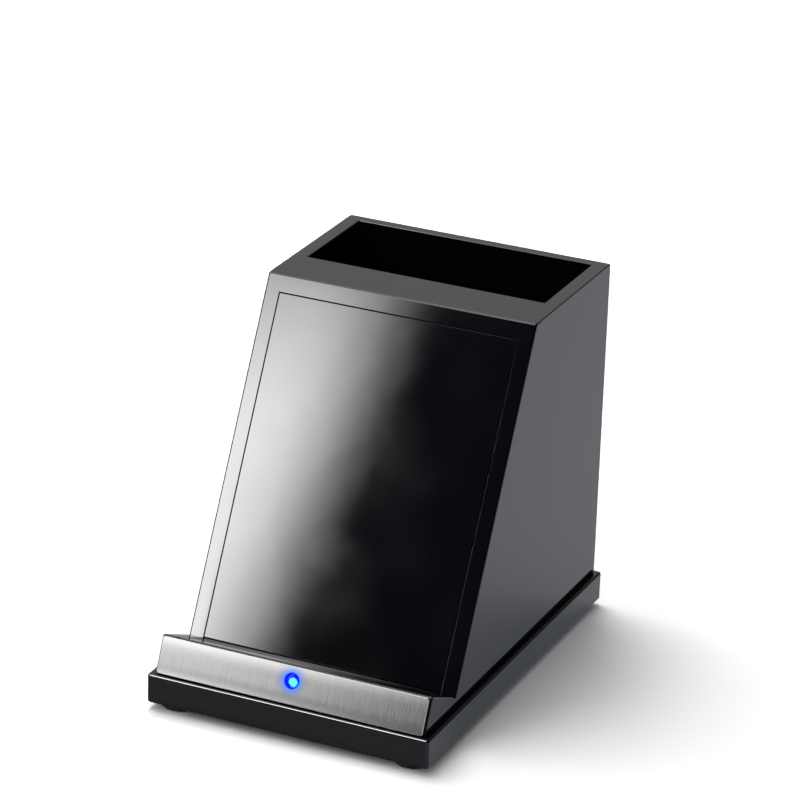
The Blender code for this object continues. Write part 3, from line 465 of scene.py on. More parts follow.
carcass = eased(carcass, slot_arris, slot_share, segments=3)
far = side_high.z
behind_bay = rear_low.y - overrun
boards = [
    ("left_side_board", (-far, -far, -far), (-inner_half, far, far * 2), "left_side_panel"),
    ("right_side_board", (inner_half, -far, -far), (far, far, far * 2), "right_side_panel"),
    ("top_rail_board", (-inner_half, -far, -far), (inner_half, behind_bay, far * 2), "top_rail"),
    ("rear_board", (-inner_half, behind_bay, -far), (inner_half, far, far * 2), "rear_panel"),
]
for name, low, high, replaced in boards:
    add_piece(name, joined(carcass.copy(), block(low, high), "INTERSECT"), black_lacquer, replaced)

# The lip bar is a wedge of the same board, glued between the side panels. Its top is the stand's ledge.
# It is bored from the front for the light's lens, and slotted from below for the light's board.
lip_low, lip_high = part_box("lip_bar")
lens_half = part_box("light_lens")[1].x
light_board_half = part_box("light_board")[1].x
light_wall = 0.0034
light_slot_depth = 0.0064
light_slot_margin = 0.0004
lens_radius = 0.0024
lens_seam = 0.00015
strip_low_margin = 0.0003
strip_high_margin = 0.0005
light_lift = 0.0014
lip_face_length = math.hypot(lip_lean, lip_rise)
strip_height = lip_face_length - strip_low_margin - strip_high_margin
strip_middle = strip_low_margin + strip_height / 2
light_rise = strip_middle + light_lift
lip_turn = Matrix.Rotation(math.atan2(lip_rise, lip_lean), 4, "X")
on_lip = Matrix.Translation((0, lip_foot.x, lip_foot.y)) @ lip_turn


def lip_share(start, end):
    """The part of the outer easing that the lip bar's ends get, where they meet the side panels."""
    above = min(start.z, end.z) > lip_low.z + same_place
    at_end = both_at(start.x, end.x, start.x)
    return seam_share if above and at_end and in_front(start, end) else 0


def bored(mesh, radius, start, end, placed, steps):
    """A mesh with a round hole in it, from one depth to another."""
    return cut(mesh, turned([(0, start), (radius, start), (radius, end), (0, end)], placed, steps))


corners = [(lip_y(lip_low.z), lip_low.z), crest, crease, (lip_high.y, crease.y), (lip_high.y, lip_low.z)]
outline = rounded_outline(corners, [0, outline_radius, 0, 0, 0])
bar = eased(slab(outline, lip_low.x, lip_high.x, sideways), outer_arris, lip_share)
at_lens = on_lip @ Matrix.Translation((0, light_rise, 0))
hole_radius = lens_radius + lens_seam
bar = bored(bar, hole_radius, overrun, -light_wall - overrun, at_lens, steps=48)
half = light_board_half + light_slot_margin
slot_top = light_rise + lens_half + light_slot_margin
low = (-half, -lip_face_length, -light_wall - light_slot_depth)
bar = cut(bar, block(low, (half, slot_top, -light_wall), on_lip))
add_piece("lip_and_ledge_bar", bar, black_lacquer, "lip_bar")

# The bay wall and the bay floor are thin boards glued in last. The wall stands in grooves of the side
# panels, and the floor lies on the rear glue blocks. Both are lacquered where they show.


def finish_nodes(material, *names):
    """Gives frame nodes their finish."""
    for name in names:
        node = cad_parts[name]
        node.data.materials.clear()
        node.data.materials.append(material)


finish_nodes(black_lacquer, "bay_wall", "bay_floor")

# Four glue blocks of bare softwood fill the corners between the base and the sides, and two cleats of
# the same wood are glued to the sides behind the slanted panel, which is glued to them.
bare_wood = new_finish("bare_wood", (0.55, 0.38, 0.22), roughness=0.75)
wood_rings = add_noise(bare_wood, scale=60, stretch=(8, 8, 0.6), detail=6, distortion=0.4)
vary(bare_wood, "Base Color", wood_rings, low=(0.42, 0.27, 0.14), high=(0.62, 0.45, 0.27))
emboss(bare_wood, wood_rings, depth=0.00008)
cloud(bare_wood, "Roughness", low=0.65, high=0.9, scale=900, stretch=(1, 1, 0.08))
glue_blocks = [f"glue_block_{corner}" for corner in corner_names]
finish_nodes(bare_wood, *glue_blocks, "left_cleat", "right_cleat")

# The bay's liner is die-cut black felt, laid on the floor of the bay. Its nap is uneven, and its edge
# is a little soft.
liner_low, liner_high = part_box("bay_liner")
liner_corner_radius = 0.003
liner_edge = 0.0004
liner_cell = 0.0005
nap_height = 0.00012
nap_spacing = 0.0016
fuzz = {"Sheen Weight": 0.25}
black_felt = new_finish("black_felt", (0.012, 0.012, 0.013), roughness=0.95, **fuzz)
felt_fibres = add_noise(black_felt, scale=2600, detail=8, distortion=1.5)
vary(black_felt, "Base Color", felt_fibres, low=(0.006, 0.006, 0.007), high=(0.03, 0.03, 0.032))
emboss(black_felt, felt_fibres, depth=0.00015)
liner = slab(rounded_rectangle(liner_low, liner_high, liner_corner_radius), liner_low.z, liner_high.z)
liner = eased(liner, liner_edge, segments=3)
liner = changed(liner, "REMESH", {"mode": "VOXEL", "voxel_size": liner_cell})
for vertex in liner.vertices:
    if vertex.co.z > liner_low.z + liner_edge:
        vertex.co.z -= nap_height * (0.5 + 0.5 * noise.noise(vertex.co / nap_spacing))
liner.shade_smooth()
liner_piece = add_piece("felt_liner", liner, black_felt, "bay_liner")

# The charging coil is one enamelled copper wire wound flat, ten turns from the middle out. Its two
# ends turn back through the ferrite and the tray to the board.
coil_turns = 10
coil_loop_points = 48
coil_wire = 0.001
coil_spacing = 0.00045
coil_inner_radius = 0.01025
coil_hook_radius = 0.0042
coil_outlet_reach = 0.0009
coil_outlet_run = 0.0036
coil_bend = 0.0016
coil_hook_shares = ((1.35, 0, 1.9), (1.3, 0.02, 1), (1.1, 0.14, 0.3), (0.8, 0.42, 0), (0.45, 0.75, 0))
coil_outlet_shares = ((0.45, 0.06), (0.85, 0.5), (1, 1.3))
panel_thickness = 0.005
pocket_depth = 0.002
ferrite_margin = 0.00125
tray_rim = 0.0032
tray_headroom = 0.0077
tray_thickness = 0.0025
post_height = 0.004
panel_low, panel_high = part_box("charging_panel")
slope_angle = math.atan2(slope_rise, slope_run)
on_slope = Matrix.Translation((0, crease.x, crease.y)) @ Matrix.Rotation(slope_angle, 4, "X")
coil_pitch = coil_wire + coil_spacing
coil_radius = coil_inner_radius + coil_pitch * coil_turns
ferrite_radius = coil_radius + coil_wire / 2 + ferrite_margin
tray_half = ferrite_radius + seam + tray_rim
coil_rise = (panel_high.z - crease.y) / math.sin(slope_angle) - tray_headroom - tray_half
coil_depth = panel_thickness - pocket_depth + seam + coil_wire / 2
coil_foot = panel_thickness + seam + tray_thickness + post_height
enamel = {"Coat Weight": 0.6}
enamelled_copper = new_finish("enamelled_copper", (0.72, 0.3, 0.13), roughness=0.3, metallic=1, **enamel)
cloud(enamelled_copper, "Base Color", low=(0.62, 0.22, 0.08), high=(0.78, 0.36, 0.17), scale=300)
cloud(enamelled_copper, "Roughness", low=0.22, high=0.4, scale=2500)


def polar(radius, angle):
    return Vector((radius * math.cos(angle), radius * math.sin(angle), 0))


def smooth_route(points, spacing):
    """Points about this far apart on a smooth curve through the points of a route."""
    ends = [points[0] * 2 - points[1], *points, points[-1] * 2 - points[-2]]
    smooth = []
    for stretch in zip(ends, ends[1:], ends[2:], ends[3:]):
        knots = [0.0]
        for one, other in zip(stretch, stretch[1:]):
            knots.append(knots[-1] + math.sqrt((other - one).length))
        steps = max(1, round((stretch[2] - stretch[1]).length / spacing))
        for step in range(steps):
            at = knots[1] + (knots[2] - knots[1]) * step / steps
            level = list(stretch)
            for spans in (((0, 1), (1, 2), (2, 3)), ((0, 2), (1, 3)), ((1, 2),)):
                level = [
                    level[k].lerp(level[k + 1], (at - knots[start]) / (knots[end] - knots[start]))
                    for k, (start, end) in enumerate(spans)
                ]
            smooth.append(level[0])
    return smooth + [points[-1]]


def lofted(rings, placed):
    """A mesh through rings of points, with closed ends."""
    work = bmesh.new()
    rings = [[work.verts.new(place) for place in ring] for ring in rings]
    for one, other in zip(rings, rings[1:]):
        for k in range(len(one)):
            after = (k + 1) % len(one)
            work.faces.new((one[k], one[after], other[after], other[k]))
    for ring in (rings[0], rings[-1]):
        work.faces.new(ring)
    return mesh_from(work, placed)


def tube(points, diameter, sides, placed):
    """A round wire along points."""
    rings = []
    across = Vector((1, 0, 0))
    for k, point in enumerate(points):
        run = (points[min(k + 1, len(points) - 1)] - points[max(k - 1, 0)]).normalized()
        across = (across - run * across.dot(run)).normalized()
        up = run.cross(across)
        angles = [2 * math.pi * side / sides for side in range(sides)]
        rings.append([point + (across * math.cos(a) + up * math.sin(a)) * diameter / 2 for a in angles])
    return lofted(rings, placed)


level = Vector((0, coil_rise, -coil_depth))
end_angle = -math.pi / 2 - coil_outlet_run / coil_radius
start_angle = end_angle - 2 * math.pi * coil_turns
spiral = []
for k in range(coil_turns * coil_loop_points + 1):
    turn = k / coil_loop_points
    radius = coil_inner_radius + coil_pitch * turn
    spiral.append(level + polar(radius, start_angle + 2 * math.pi * turn))
drop = Vector((0, 0, -coil_bend))
to_board = Vector((0, 0, coil_depth - coil_foot))
hook = [level + polar(coil_hook_radius, start_angle - coil_hook_shares[0][0]) + to_board]
for turn_share, narrowing_share, drop_share in coil_hook_shares:
    radius = coil_hook_radius + (coil_inner_radius - coil_hook_radius) * narrowing_share
    hook.append(level + polar(radius, start_angle - turn_share) + drop * drop_share)
outlet = []
for reach_share, drop_share in coil_outlet_shares:
    angle = end_angle + coil_outlet_run * reach_share / coil_radius
    radius = coil_radius + coil_outlet_reach * reach_share
    outlet.append(level + polar(radius, angle) + drop * drop_share)
outlet.append(level + polar(coil_radius + coil_outlet_reach, -math.pi / 2) + to_board)
into = smooth_route([*hook, spiral[0]], coil_wire / 2)
out_of = smooth_route([spiral[-1], *outlet], coil_wire / 2)
coil = tube(into[:-1] + spiral + out_of[1:], coil_wire, sides=16, placed=on_slope)
add_piece("wound_coil", coil, enamelled_copper, "charging_coil")

# Behind the coil lies a disc of sintered ferrite. A moulded tray presses it to the panel, held by four
# screws, and its posts carry the charger's board.
grey_ferrite = new_finish("grey_ferrite", (0.09, 0.09, 0.1), roughness=0.6)
ferrite_grain = add_noise(grey_ferrite, scale=3000, detail=4)
vary(grey_ferrite, "Base Color", ferrite_grain, low=(0.05, 0.05, 0.055), high=(0.13, 0.13, 0.14))
emboss(grey_ferrite, ferrite_grain, depth=0.00002)
tray_plastic = new_finish("tray_plastic", (0.75, 0.75, 0.73), roughness=0.5)
cloud(tray_plastic, "Roughness", low=0.4, high=0.6, scale=250)
emboss(tray_plastic, add_noise(tray_plastic, scale=5000), depth=0.00001)
finish_nodes(grey_ferrite, "ferrite_disc")
finish_nodes(tray_plastic, "coil_tray")

# The circuit boards are glass laminate under green solder mask. The charger's board carries its chips,
# its capacitors and a power inductor, soldered by machine.
green_laminate = new_finish("green_laminate", (0.02, 0.16, 0.06), roughness=0.35)
weave = add_pattern(green_laminate, "ShaderNodeTexBrick", scale=900, **{"Mortar Size": 0.08})
laminate_dark, laminate_bright = (0.014, 0.11, 0.04), (0.03, 0.2, 0.08)
vary(green_laminate, "Base Color", weave, laminate_dark, laminate_bright, least=0.2, most=0.8)
traces = add_pattern(green_laminate, "ShaderNodeTexVoronoi", scale=330)
emboss(green_laminate, traces, depth=0.00004)
chip_plastic = new_finish("chip_plastic", (0.03, 0.03, 0.03), roughness=0.5)
chip_grain = add_noise(chip_plastic, scale=6000)
vary(chip_plastic, "Base Color", chip_grain, low=(0.018, 0.018, 0.019), high=(0.05, 0.05, 0.05))
emboss(chip_plastic, chip_grain, depth=0.00001)
light_chip_white = new_finish("light_chip_white", (0.85, 0.85, 0.8), roughness=0.4)
cloud(light_chip_white, "Base Color", low=(0.82, 0.82, 0.78), high=(0.88, 0.87, 0.74), scale=1500)
tan_ceramic = new_finish("tan_ceramic", (0.45, 0.33, 0.2), roughness=0.45)
cloud(tan_ceramic, "Base Color", low=(0.38, 0.27, 0.16), high=(0.52, 0.39, 0.25), scale=2500)
can_aluminium = new_finish("can_aluminium", (0.75, 0.76, 0.78), roughness=0.3, metallic=1)
cloud(can_aluminium, "Roughness", low=0.22, high=0.4, scale=1200, stretch=(1, 1, 8))
finish_nodes(green_laminate, "charger_board", "inlet_board", "light_board")
finish_nodes(chip_plastic, "control_chip", "bridge_chip_upper", "bridge_chip_lower")
finish_nodes(light_chip_white, "light_chip")
finish_nodes(tan_ceramic, *[f"resonance_capacitor_{k}" for k in range(1, 5)])
finish_nodes(can_aluminium, "input_capacitor")
finish_nodes(grey_ferrite, "power_inductor")

# Fourteen small screws of zinc-plated steel hold the base, the tray, the boards and the inlet. The four
# in the base show underneath: their heads are countersunk, with a cross recess that was pressed in.
screw_head_rim = 0.0002
screw_head_height = 0.0016
screw_radius = 0.0015
screw_tip_share = 0.18
recess_reach = 0.0017
recess_half_width = 0.0004
recess_root_share = 0.35
recess_depth = 0.0012
recess_turn = math.pi / 5
screw_zinc = new_finish("screw_zinc", (0.66, 0.66, 0.64), roughness=0.35, metallic=1)
zinc_spangle = cloud(screw_zinc, "Roughness", low=0.25, high=0.45, scale=1800)
vary(screw_zinc, "Base Color", zinc_spangle, low=(0.6, 0.6, 0.57), high=(0.7, 0.7, 0.69))
for name in sorted(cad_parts):
    if "_screw_" in name and not name.startswith("base_"):
        finish_nodes(screw_zinc, name)


def recess_arm(turn):
    """A wedge that presses one pair of arms of the cross recess, widest at the face of the head."""
    rings = []
    levels = [(-recess_depth, 1 + recess_root_share), (0, 1), (recess_depth, recess_root_share)]
    for depth, share in levels:
        reach, width = recess_reach * share, recess_half_width * (share + 1) / 2
        corners = [(reach, width), (-reach, width), (-reach, -width), (reach, -width)]
        rings.append([(x, y, depth) for x, y in corners])
    return lofted(rings, turn)


for corner in corner_names:
    screw_low, screw_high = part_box(f"base_screw_{corner}")
    middle = (screw_low + screw_high) / 2
    head_radius = (screw_high.x - screw_low.x) / 2
    length = screw_high.z - screw_low.z
    profile = [
        (0, 0),
        (head_radius, 0),
        (head_radius, screw_head_rim),
        (screw_radius, screw_head_height),
        (screw_radius, length * (1 - screw_tip_share)),
        (0, length),
    ]
    base_screw = turned(profile, steps=48)
    for quarter in range(2):
        turn = Matrix.Rotation(math.pi / 2 * quarter + recess_turn, 4, "Z")
        base_screw = cut(base_screw, recess_arm(turn))
    base_screw.transform(Matrix.Translation((middle.x, middle.y, screw_low.z)))
    add_piece(f"cross_screw_{corner}", base_screw, screw_zinc, f"base_screw_{corner}")

# The leads are stranded copper in coloured sleeves. They run inside from the inlet to the charger and
# from the charger to the light, in the grooves of the base.
red_lead = new_finish("red_lead", (0.5, 0.02, 0.02), roughness=0.45)
cloud(red_lead, "Base Color", low=(0.42, 0.015, 0.015), high=(0.56, 0.03, 0.03), scale=700)
black_lead = new_finish("black_lead", (0.02, 0.02, 0.02), roughness=0.45)
cloud(black_lead, "Roughness", low=0.35, high=0.55, scale=700)
for circuit in ("power", "light"):
    finish_nodes(red_lead, f"{circuit}_lead_plus")
    finish_nodes(black_lead, f"{circuit}_lead_minus")

# The inlet is a socket with a drawn steel shell, plated with tin, round a thin black tongue with a row
# of gold contacts on each face. Its board is held by a moulded bracket, and its mouth shows in a slot
# low in the rear panel.
shell_wall = 0.0003
mouth_arris = 0.0001
tongue_low, tongue_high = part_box("inlet_tongue")
tongue_root_length = 0.0014
tongue_thickness = 0.0007
tongue_width = 0.0066
tongue_arris = 0.0001
contact_count = 12
contact_pitch = 0.0005
contact_width = 0.00028
contact_length = 0.0036
contact_height = 0.00003
bright_tin = new_finish("bright_tin", (0.7, 0.7, 0.7), roughness=0.25, metallic=1)
cloud(bright_tin, "Roughness", low=0.18, high=0.35, scale=1500, stretch=(1, 0.1, 1))
contact_gold = new_finish("contact_gold", (0.9, 0.62, 0.25), roughness=0.25, metallic=1)
cloud(contact_gold, "Roughness", low=0.2, high=0.35, scale=3000)


def mouth_share(start, end):
    return 1 if both_at(start.y, end.y, shell_high.y) else 0


width, height = shell_high.x * 2, shell_high.z - shell_low.z
shell = slab(stadium((0, socket_middle), width, height), shell_low.y, shell_high.y, facing_back)
inside = stadium((0, socket_middle), width - 2 * shell_wall, height - 2 * shell_wall)
shell = cut(shell, slab(inside, shell_low.y - overrun, shell_high.y + overrun, facing_back))
shell = eased(shell, mouth_arris, mouth_share, segments=3)
add_piece("socket_shell", shell, bright_tin, "inlet_shell")
root = stadium((0, socket_middle), tongue_high.x * 2, tongue_high.z - tongue_low.z)
tongue = slab(root, tongue_low.y, tongue_low.y + tongue_root_length, facing_back)
low = (-tongue_width / 2, tongue_low.y + tongue_root_length / 2, socket_middle - tongue_thickness / 2)
high = (tongue_width / 2, tongue_high.y, socket_middle + tongue_thickness / 2)
blade = eased(block(low, high), tongue_arris, segments=3)
add_piece("socket_tongue", joined(tongue, blade, "UNION"), chip_plastic, "inlet_tongue")
contacts = bmesh.new()
contact_size = Matrix.Diagonal((contact_width, contact_length, contact_height, 1))
contact_y = tongue_high.y - tongue_arris - contact_length / 2 - contact_width
for face in (-1, 1):
    contact_rise = socket_middle + face * (tongue_thickness + contact_height) / 2
    for k in range(contact_count):
        place = ((k - (contact_count - 1) / 2) * contact_pitch, contact_y, contact_rise)
        bmesh.ops.create_cube(contacts, size=1, matrix=Matrix.Translation(place) @ contact_size)
contact_piece = set_out("socket_contacts", mesh_from(contacts))
contact_piece.data.materials.append(contact_gold)
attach(contact_piece, "root")
finish_nodes(tray_plastic, "inlet_bracket")

# The charging panel is a thin board set between the side panels and glued to the cleats. A round pocket
# is routed in its back for the coil, and four blind holes take the tray's screws.
pocket_margin = 0.0015
tray_screw_inset = 0.003
tray_screw_length = 0.0054
tray_screw_hole = 0.0014


def panel_share(start, end):
    """The easing of the edges that show round the slanted face."""
    on_face = max(abs(start.y - slope_y(start.z)), abs(end.y - slope_y(end.z))) < same_place
    return seam_share if on_face else 0


panel_run = panel_thickness / math.sin(slope_angle)
face = [(slope_y(height), height) for height in (panel_low.z, panel_high.z)]
corners = face + [(y + panel_run, height) for y, height in reversed(face)]
panel = eased(slab(corners, panel_low.x, panel_high.x, sideways), outer_arris, panel_share)
at_coil = on_slope @ Matrix.Translation((0, coil_rise, 0))
pocket_radius = ferrite_radius + pocket_margin
deep = -panel_thickness - overrun
panel = bored(panel, pocket_radius, pocket_depth - panel_thickness, deep, at_coil, steps=96)
reach = tray_half - tray_screw_inset
hole_top = tray_screw_length - panel_thickness - tray_thickness - seam
for x, rise in ((-reach, -reach), (reach, -reach), (-reach, reach), (reach, reach)):
    at_screw = at_coil @ Matrix.Translation((x, rise, 0))
    panel = bored(panel, tray_screw_hole, hole_top, deep, at_screw, steps=24)
add_piece("slanted_panel", panel, black_lacquer, "charging_panel")

# The steel strip is stainless sheet, brushed the short way and glued on the front of the lip. It is
# rolled very slightly crowned, its edges are broken, and the light's lens shows through a hole in it.
strip_low, strip_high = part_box("steel_strip")
strip_thickness = 0.0005
strip_corner_radius = 0.0008
strip_arris = 0.0002
strip_crown = 0.00012
crown_power = 4
crown_bands = 14
crown_weld = 0.000001
brushed_steel = new_finish("brushed_steel", (0.62, 0.6, 0.58), roughness=0.17, metallic=1)
brush_lines = add_noise(brushed_steel, scale=300, stretch=(14, 0.5, 0.5), detail=5)
vary(brushed_steel, "Roughness", brush_lines, low=0.145, high=0.215)
vary(brushed_steel, "Base Color", brush_lines, low=(0.59, 0.575, 0.57), high=(0.66, 0.645, 0.64))
emboss(brushed_steel, brush_lines, depth=0.0000004)
steel_waves = add_noise(brushed_steel, scale=90, stretch=(0.3, 1.6, 1.6), detail=1)
emboss(brushed_steel, steel_waves, depth=0.000025)
low = (strip_low.x, strip_middle - strip_height / 2)
high = (strip_high.x, strip_middle + strip_height / 2)
outline = rounded_rectangle(low, high, strip_corner_radius, steps=8)
strip = eased(slab(outline, seam, seam + strip_thickness), strip_arris, segments=3)
strip_hole = Matrix.Translation((0, light_rise, 0))
strip = bored(strip, hole_radius, -overrun, overrun, strip_hole, steps=64)
work = bmesh.new()
work.from_mesh(strip)
for band in range(1, crown_bands):
    across = {"plane_co": (0, low[1] + strip_height * band / crown_bands, 0), "plane_no": (0, 1, 0)}
    everything = [*work.verts, *work.edges, *work.faces]
    bmesh.ops.bisect_plane(work, geom=everything, dist=crown_weld, **across)
for vertex in work.verts:
    vertex.co.z -= strip_crown * ((vertex.co.y - strip_middle) / (strip_height / 2)) ** crown_power
strip_piece = add_piece("brushed_strip", mesh_from(work, on_lip), brushed_steel, "steel_strip")

# The light's lens is a domed plug of clear blue plastic, pushed in from behind through the strip. It
# glows blue as the light's own, with a painted highlight, a nearly white hot spot off its middle for the
# chip seen through the dome, while the other side stays deep blue. The steel round it has a painted blue
# halo.
lens_proud = 0.0005
lens_dome_height = 0.0006
flange_width = 0.0006
flange_thickness = 0.0009
lens_face = seam + strip_thickness + lens_proud
# How far the lens's own glow and its painted hot spot reach.
glow_and_highlight_reach = 0.0036
glow_ripple = 0.0013
# How far the painted blue halo reaches over the steel round the lens.
painted_halo_reach = 0.006
# Where the painted highlight of the hot spot sits, as shares of the lens's radius.
painted_hot_spot_shares = (0.34, -0.12)
lens_settings = {"Emission Strength": 1.0, "Specular IOR Level": 0.15}
blue_lens = new_finish("blue_lens", (0.0, 0.01, 0.3), roughness=0.25, **lens_settings)


def worked_out(tree, kind, operation, *values):
    """The number that a node makes of some values, any of which may be a socket."""
    node = tree.nodes.new(kind)
    node.operation = operation
    for socket, value in zip(node.inputs, values):
        feed(tree, socket, value)
    return node.outputs["Value"]


def add_distance(tree, point):
    """How far a place on the surface is from a point."""
    place = tree.nodes.new("ShaderNodeTexCoord").outputs["Object"]
    return worked_out(tree, "ShaderNodeVectorMath", "DISTANCE", place, point)


def add_ramp(tree, value, reach, stops):
    """Colours along a value, at shares of its reach."""
    share = worked_out(tree, "ShaderNodeMath", "DIVIDE", value, reach)
    ramp = tree.nodes.new("ShaderNodeValToRGB")
    while len(ramp.color_ramp.elements) < len(stops):
        ramp.color_ramp.elements.new(1)
    for element, (place, colour) in zip(ramp.color_ramp.elements, stops):
        element.position = place
        element.color = (*colour, 1)
    tree.links.new(share, ramp.inputs["Fac"])
    return ramp.outputs["Color"]


# The painted highlight's place on the lens, off its middle, where the chip shows through the dome.
painted_hot_x, painted_hot_rise = (lens_radius * share for share in painted_hot_spot_shares)
painted_hot_spot = on_lip @ Vector((painted_hot_x, light_rise + painted_hot_rise, lens_face))
# The lens's own blue glow, nearly white at the painted hot spot.
glow_and_highlight_stops = [
    (0.0, (0.24, 1.0, 1.0)),
    (0.5, (0.12, 0.95, 1.0)),
    (0.59, (0.01, 0.1, 1.0)),
    (0.65, (0.001, 0.002, 1.0)),
]
tree = blue_lens.node_tree
ripple = add_noise(blue_lens, scale=900, detail=1)
from_painted_hot_spot = add_distance(tree, painted_hot_spot)
ragged = worked_out(tree, "ShaderNodeMath", "MULTIPLY_ADD", ripple, glow_ripple, from_painted_hot_spot)
glow = add_ramp(tree, ragged, glow_and_highlight_reach, glow_and_highlight_stops)
tree.links.new(glow, shader_of(blue_lens).inputs["Emission Color"])
# Painted light on the steel round the lens: each ring has its place, its painted blue glow, and the share
# of the steel's colour left under painted shade.
painted_halo_rings = [
    (0.43, (0.0, 0.2, 0.82), 0.25),
    (0.53, (0.0, 0.15, 0.58), 0.45),
    (0.68, (0.0, 0.05, 0.2), 0.76),
    (0.84, (0.0, 0.01, 0.04), 0.93),
    (1.0, (0.0, 0.0, 0.0), 1.0),
]
painted_halo_stops = [(place, colour) for place, colour, share in painted_halo_rings]
painted_shade_stops = [(place, (share, share, share)) for place, colour, share in painted_halo_rings]
# Painted light: a blue halo glowing from the steel round the lens, and painted shade darkening the
# steel's colour under it.
tree = brushed_steel.node_tree
steel_inputs = shader_of(brushed_steel).inputs
from_lens = add_distance(tree, on_lip @ Vector((0, light_rise, lens_face)))
painted_halo = add_ramp(tree, from_lens, painted_halo_reach, painted_halo_stops)
steel_inputs["Emission Strength"].default_value = 1.0
tree.links.new(painted_halo, steel_inputs["Emission Color"])
steel_tone = steel_inputs["Base Color"].links[0].from_socket
painted_shade = add_ramp(tree, from_lens, painted_halo_reach, painted_shade_stops)
steel_under_painted_halo = mixed(tree, 1.0, steel_tone, painted_shade, "RGBA", "MULTIPLY")
tree.links.new(steel_under_painted_halo, steel_inputs["Base Color"])
flange_radius = lens_radius + flange_width
dome_radius = (lens_radius**2 + lens_dome_height**2) / (2 * lens_dome_height)
dome_angle = math.degrees(math.asin(lens_radius / dome_radius))
profile = arc((0, lens_face - dome_radius), dome_radius, 90, 90 - dome_angle, steps=16)
behind = -light_wall - seam
profile += [(lens_radius, behind), (flange_radius, behind)]
profile += [(flange_radius, behind - flange_thickness), (0, behind - flange_thickness)]
add_piece("domed_lens", turned(profile, at_lens), blue_lens, "light_lens")

# The floor is a plain white table top, pure white to the camera where nothing shades it. In the gloss
# it has painted light: its colour is painted brighter to the rear, and a painted glow, a little cool,
# lies to the right of the stand.
floor_size = 12.0
floor_albedo = 0.9
floor_seen_gain = 2.5
# Painted light and shade in the gloss: the floor's colour is darker to the front and brighter to the
# rear, and a painted cool glow lies to the right of the stand.
floor_front_painted_gain = 0.7
floor_rear_painted_gain = 1.05
floor_side_painted_glow = 0.235
floor_side_glow_tint = (0.86, 0.96, 1.18, 1)
floor_side_from = 0.042
floor_side_to = 0.05
floor_open_from = 0.35
floor_open_to = 1.0
floor_open_lift = 0.6
floor_gain_reach = 0.12


def new_stage_finish(name):
    """An empty material for the studio, with its nodes."""
    material = bpy.data.materials.new(name)
    material.use_nodes = True
    material.node_tree.nodes.remove(shader_of(material))
    return material, material.node_tree


def show_both(tree, one, other):
    """Adds up two shaders for the surface."""
    both = tree.nodes.new("ShaderNodeAddShader")
    tree.links.new(one.outputs[0], both.inputs[0])
    tree.links.new(other.outputs[0], both.inputs[1])
    tree.links.new(both.outputs["Shader"], tree.nodes["Material Output"].inputs["Surface"])


def place_axes(tree):
    """The x, y and z of a place on the floor or on a card."""
    split = tree.nodes.new("ShaderNodeSeparateXYZ")
    tree.links.new(tree.nodes.new("ShaderNodeTexCoord").outputs["Object"], split.inputs["Vector"])
    return split.outputs


def add_card(name, material, low, high, y=None):
    """A flat rectangle of the studio, standing across the view at y, or lying down without one."""
    outline = rectangle(low, high)
    corners = [(x, rise, 0) if y is None else (x, y, rise) for x, rise in outline]
    mesh = bpy.data.meshes.new(name)
    mesh.from_pydata(corners, [], [(0, 1, 2, 3)])
    mesh.materials.append(material)
    card = set_out(name, mesh)
    return card


floor_white, tree = new_stage_finish("floor_white")
ray = tree.nodes.new("ShaderNodeLightPath").outputs
axes = place_axes(tree)
# The painted gloss tones, darker in front and brighter behind, shown only in reflections.
painted_front_gloss_tone, painted_rear_gloss_tone = floor_albedo * floor_front_painted_gain, floor_albedo * floor_rear_painted_gain
rearward = graded(tree, axes["Y"], -floor_gain_reach, floor_gain_reach, painted_front_gloss_tone, painted_rear_gloss_tone)
bounced = mixed(tree, ray["Is Glossy Ray"], floor_albedo, rearward)
seen = mixed(tree, ray["Is Camera Ray"], bounced, floor_albedo * floor_seen_gain)
paint = tree.nodes.new("ShaderNodeBsdfDiffuse")
tree.links.new(seen, paint.inputs["Color"])
# A painted cool glow to the right of the stand, seen only in reflections, which lights the stand's sides
# there.
painted_side_glow = graded(tree, axes["X"], floor_side_from, floor_side_to, high=floor_side_painted_glow, smooth=True)
distance = add_distance(tree, (0, 0, 0))
outward = graded(tree, distance, floor_open_from, floor_open_to, high=floor_open_lift, smooth=True)
painted_gloss_glow = mixed(tree, ray["Is Glossy Ray"], 0.0, painted_side_glow)
seen_lift = mixed(tree, ray["Is Camera Ray"], painted_gloss_glow, outward)
cool_or_white = mixed(tree, ray["Is Camera Ray"], floor_side_glow_tint, (1, 1, 1, 1), "RGBA")
lift = tree.nodes.new("ShaderNodeEmission")
tree.links.new(cool_or_white, lift.inputs["Color"])
tree.links.new(seen_lift, lift.inputs["Strength"])
show_both(tree, paint, lift)
half = floor_size / 2
add_card("floor", floor_white, (-half, -half), (half, half))

# The world is a white studio to the eye. In the gloss it is pale to the rear left and nearly black
# elsewhere, and for the rest it is a soft fill, brightest from the front left.
fill_way = (-0.86, -0.45, 0.22)
fill_least = 0.09
fill_most = 0.46
fill_from = -0.3
fill_to = 0.9
world_dark = 0.02
world_bright = 0.58
bright_way = (-0.45, 0.89, 0.0)
bright_from = 0.5
bright_to = 0.9
world = bpy.data.worlds.new("studio")
bpy.context.scene.world = world
world.use_nodes = True
tree = world.node_tree
background = tree.nodes["Background"].inputs
background["Color"].default_value = (1, 1, 1, 1)
ray = tree.nodes.new("ShaderNodeLightPath").outputs
place = tree.nodes.new("ShaderNodeTexCoord").outputs["Generated"]
rearward = worked_out(tree, "ShaderNodeVectorMath", "DOT_PRODUCT", place, bright_way)
glossy = graded(tree, rearward, bright_from, bright_to, world_dark, world_bright, smooth=True)
forward = worked_out(tree, "ShaderNodeVectorMath", "DOT_PRODUCT", place, fill_way)
filling = graded(tree, forward, fill_from, fill_to, fill_least, fill_most)
lit = mixed(tree, ray["Is Glossy Ray"], filling, glossy)
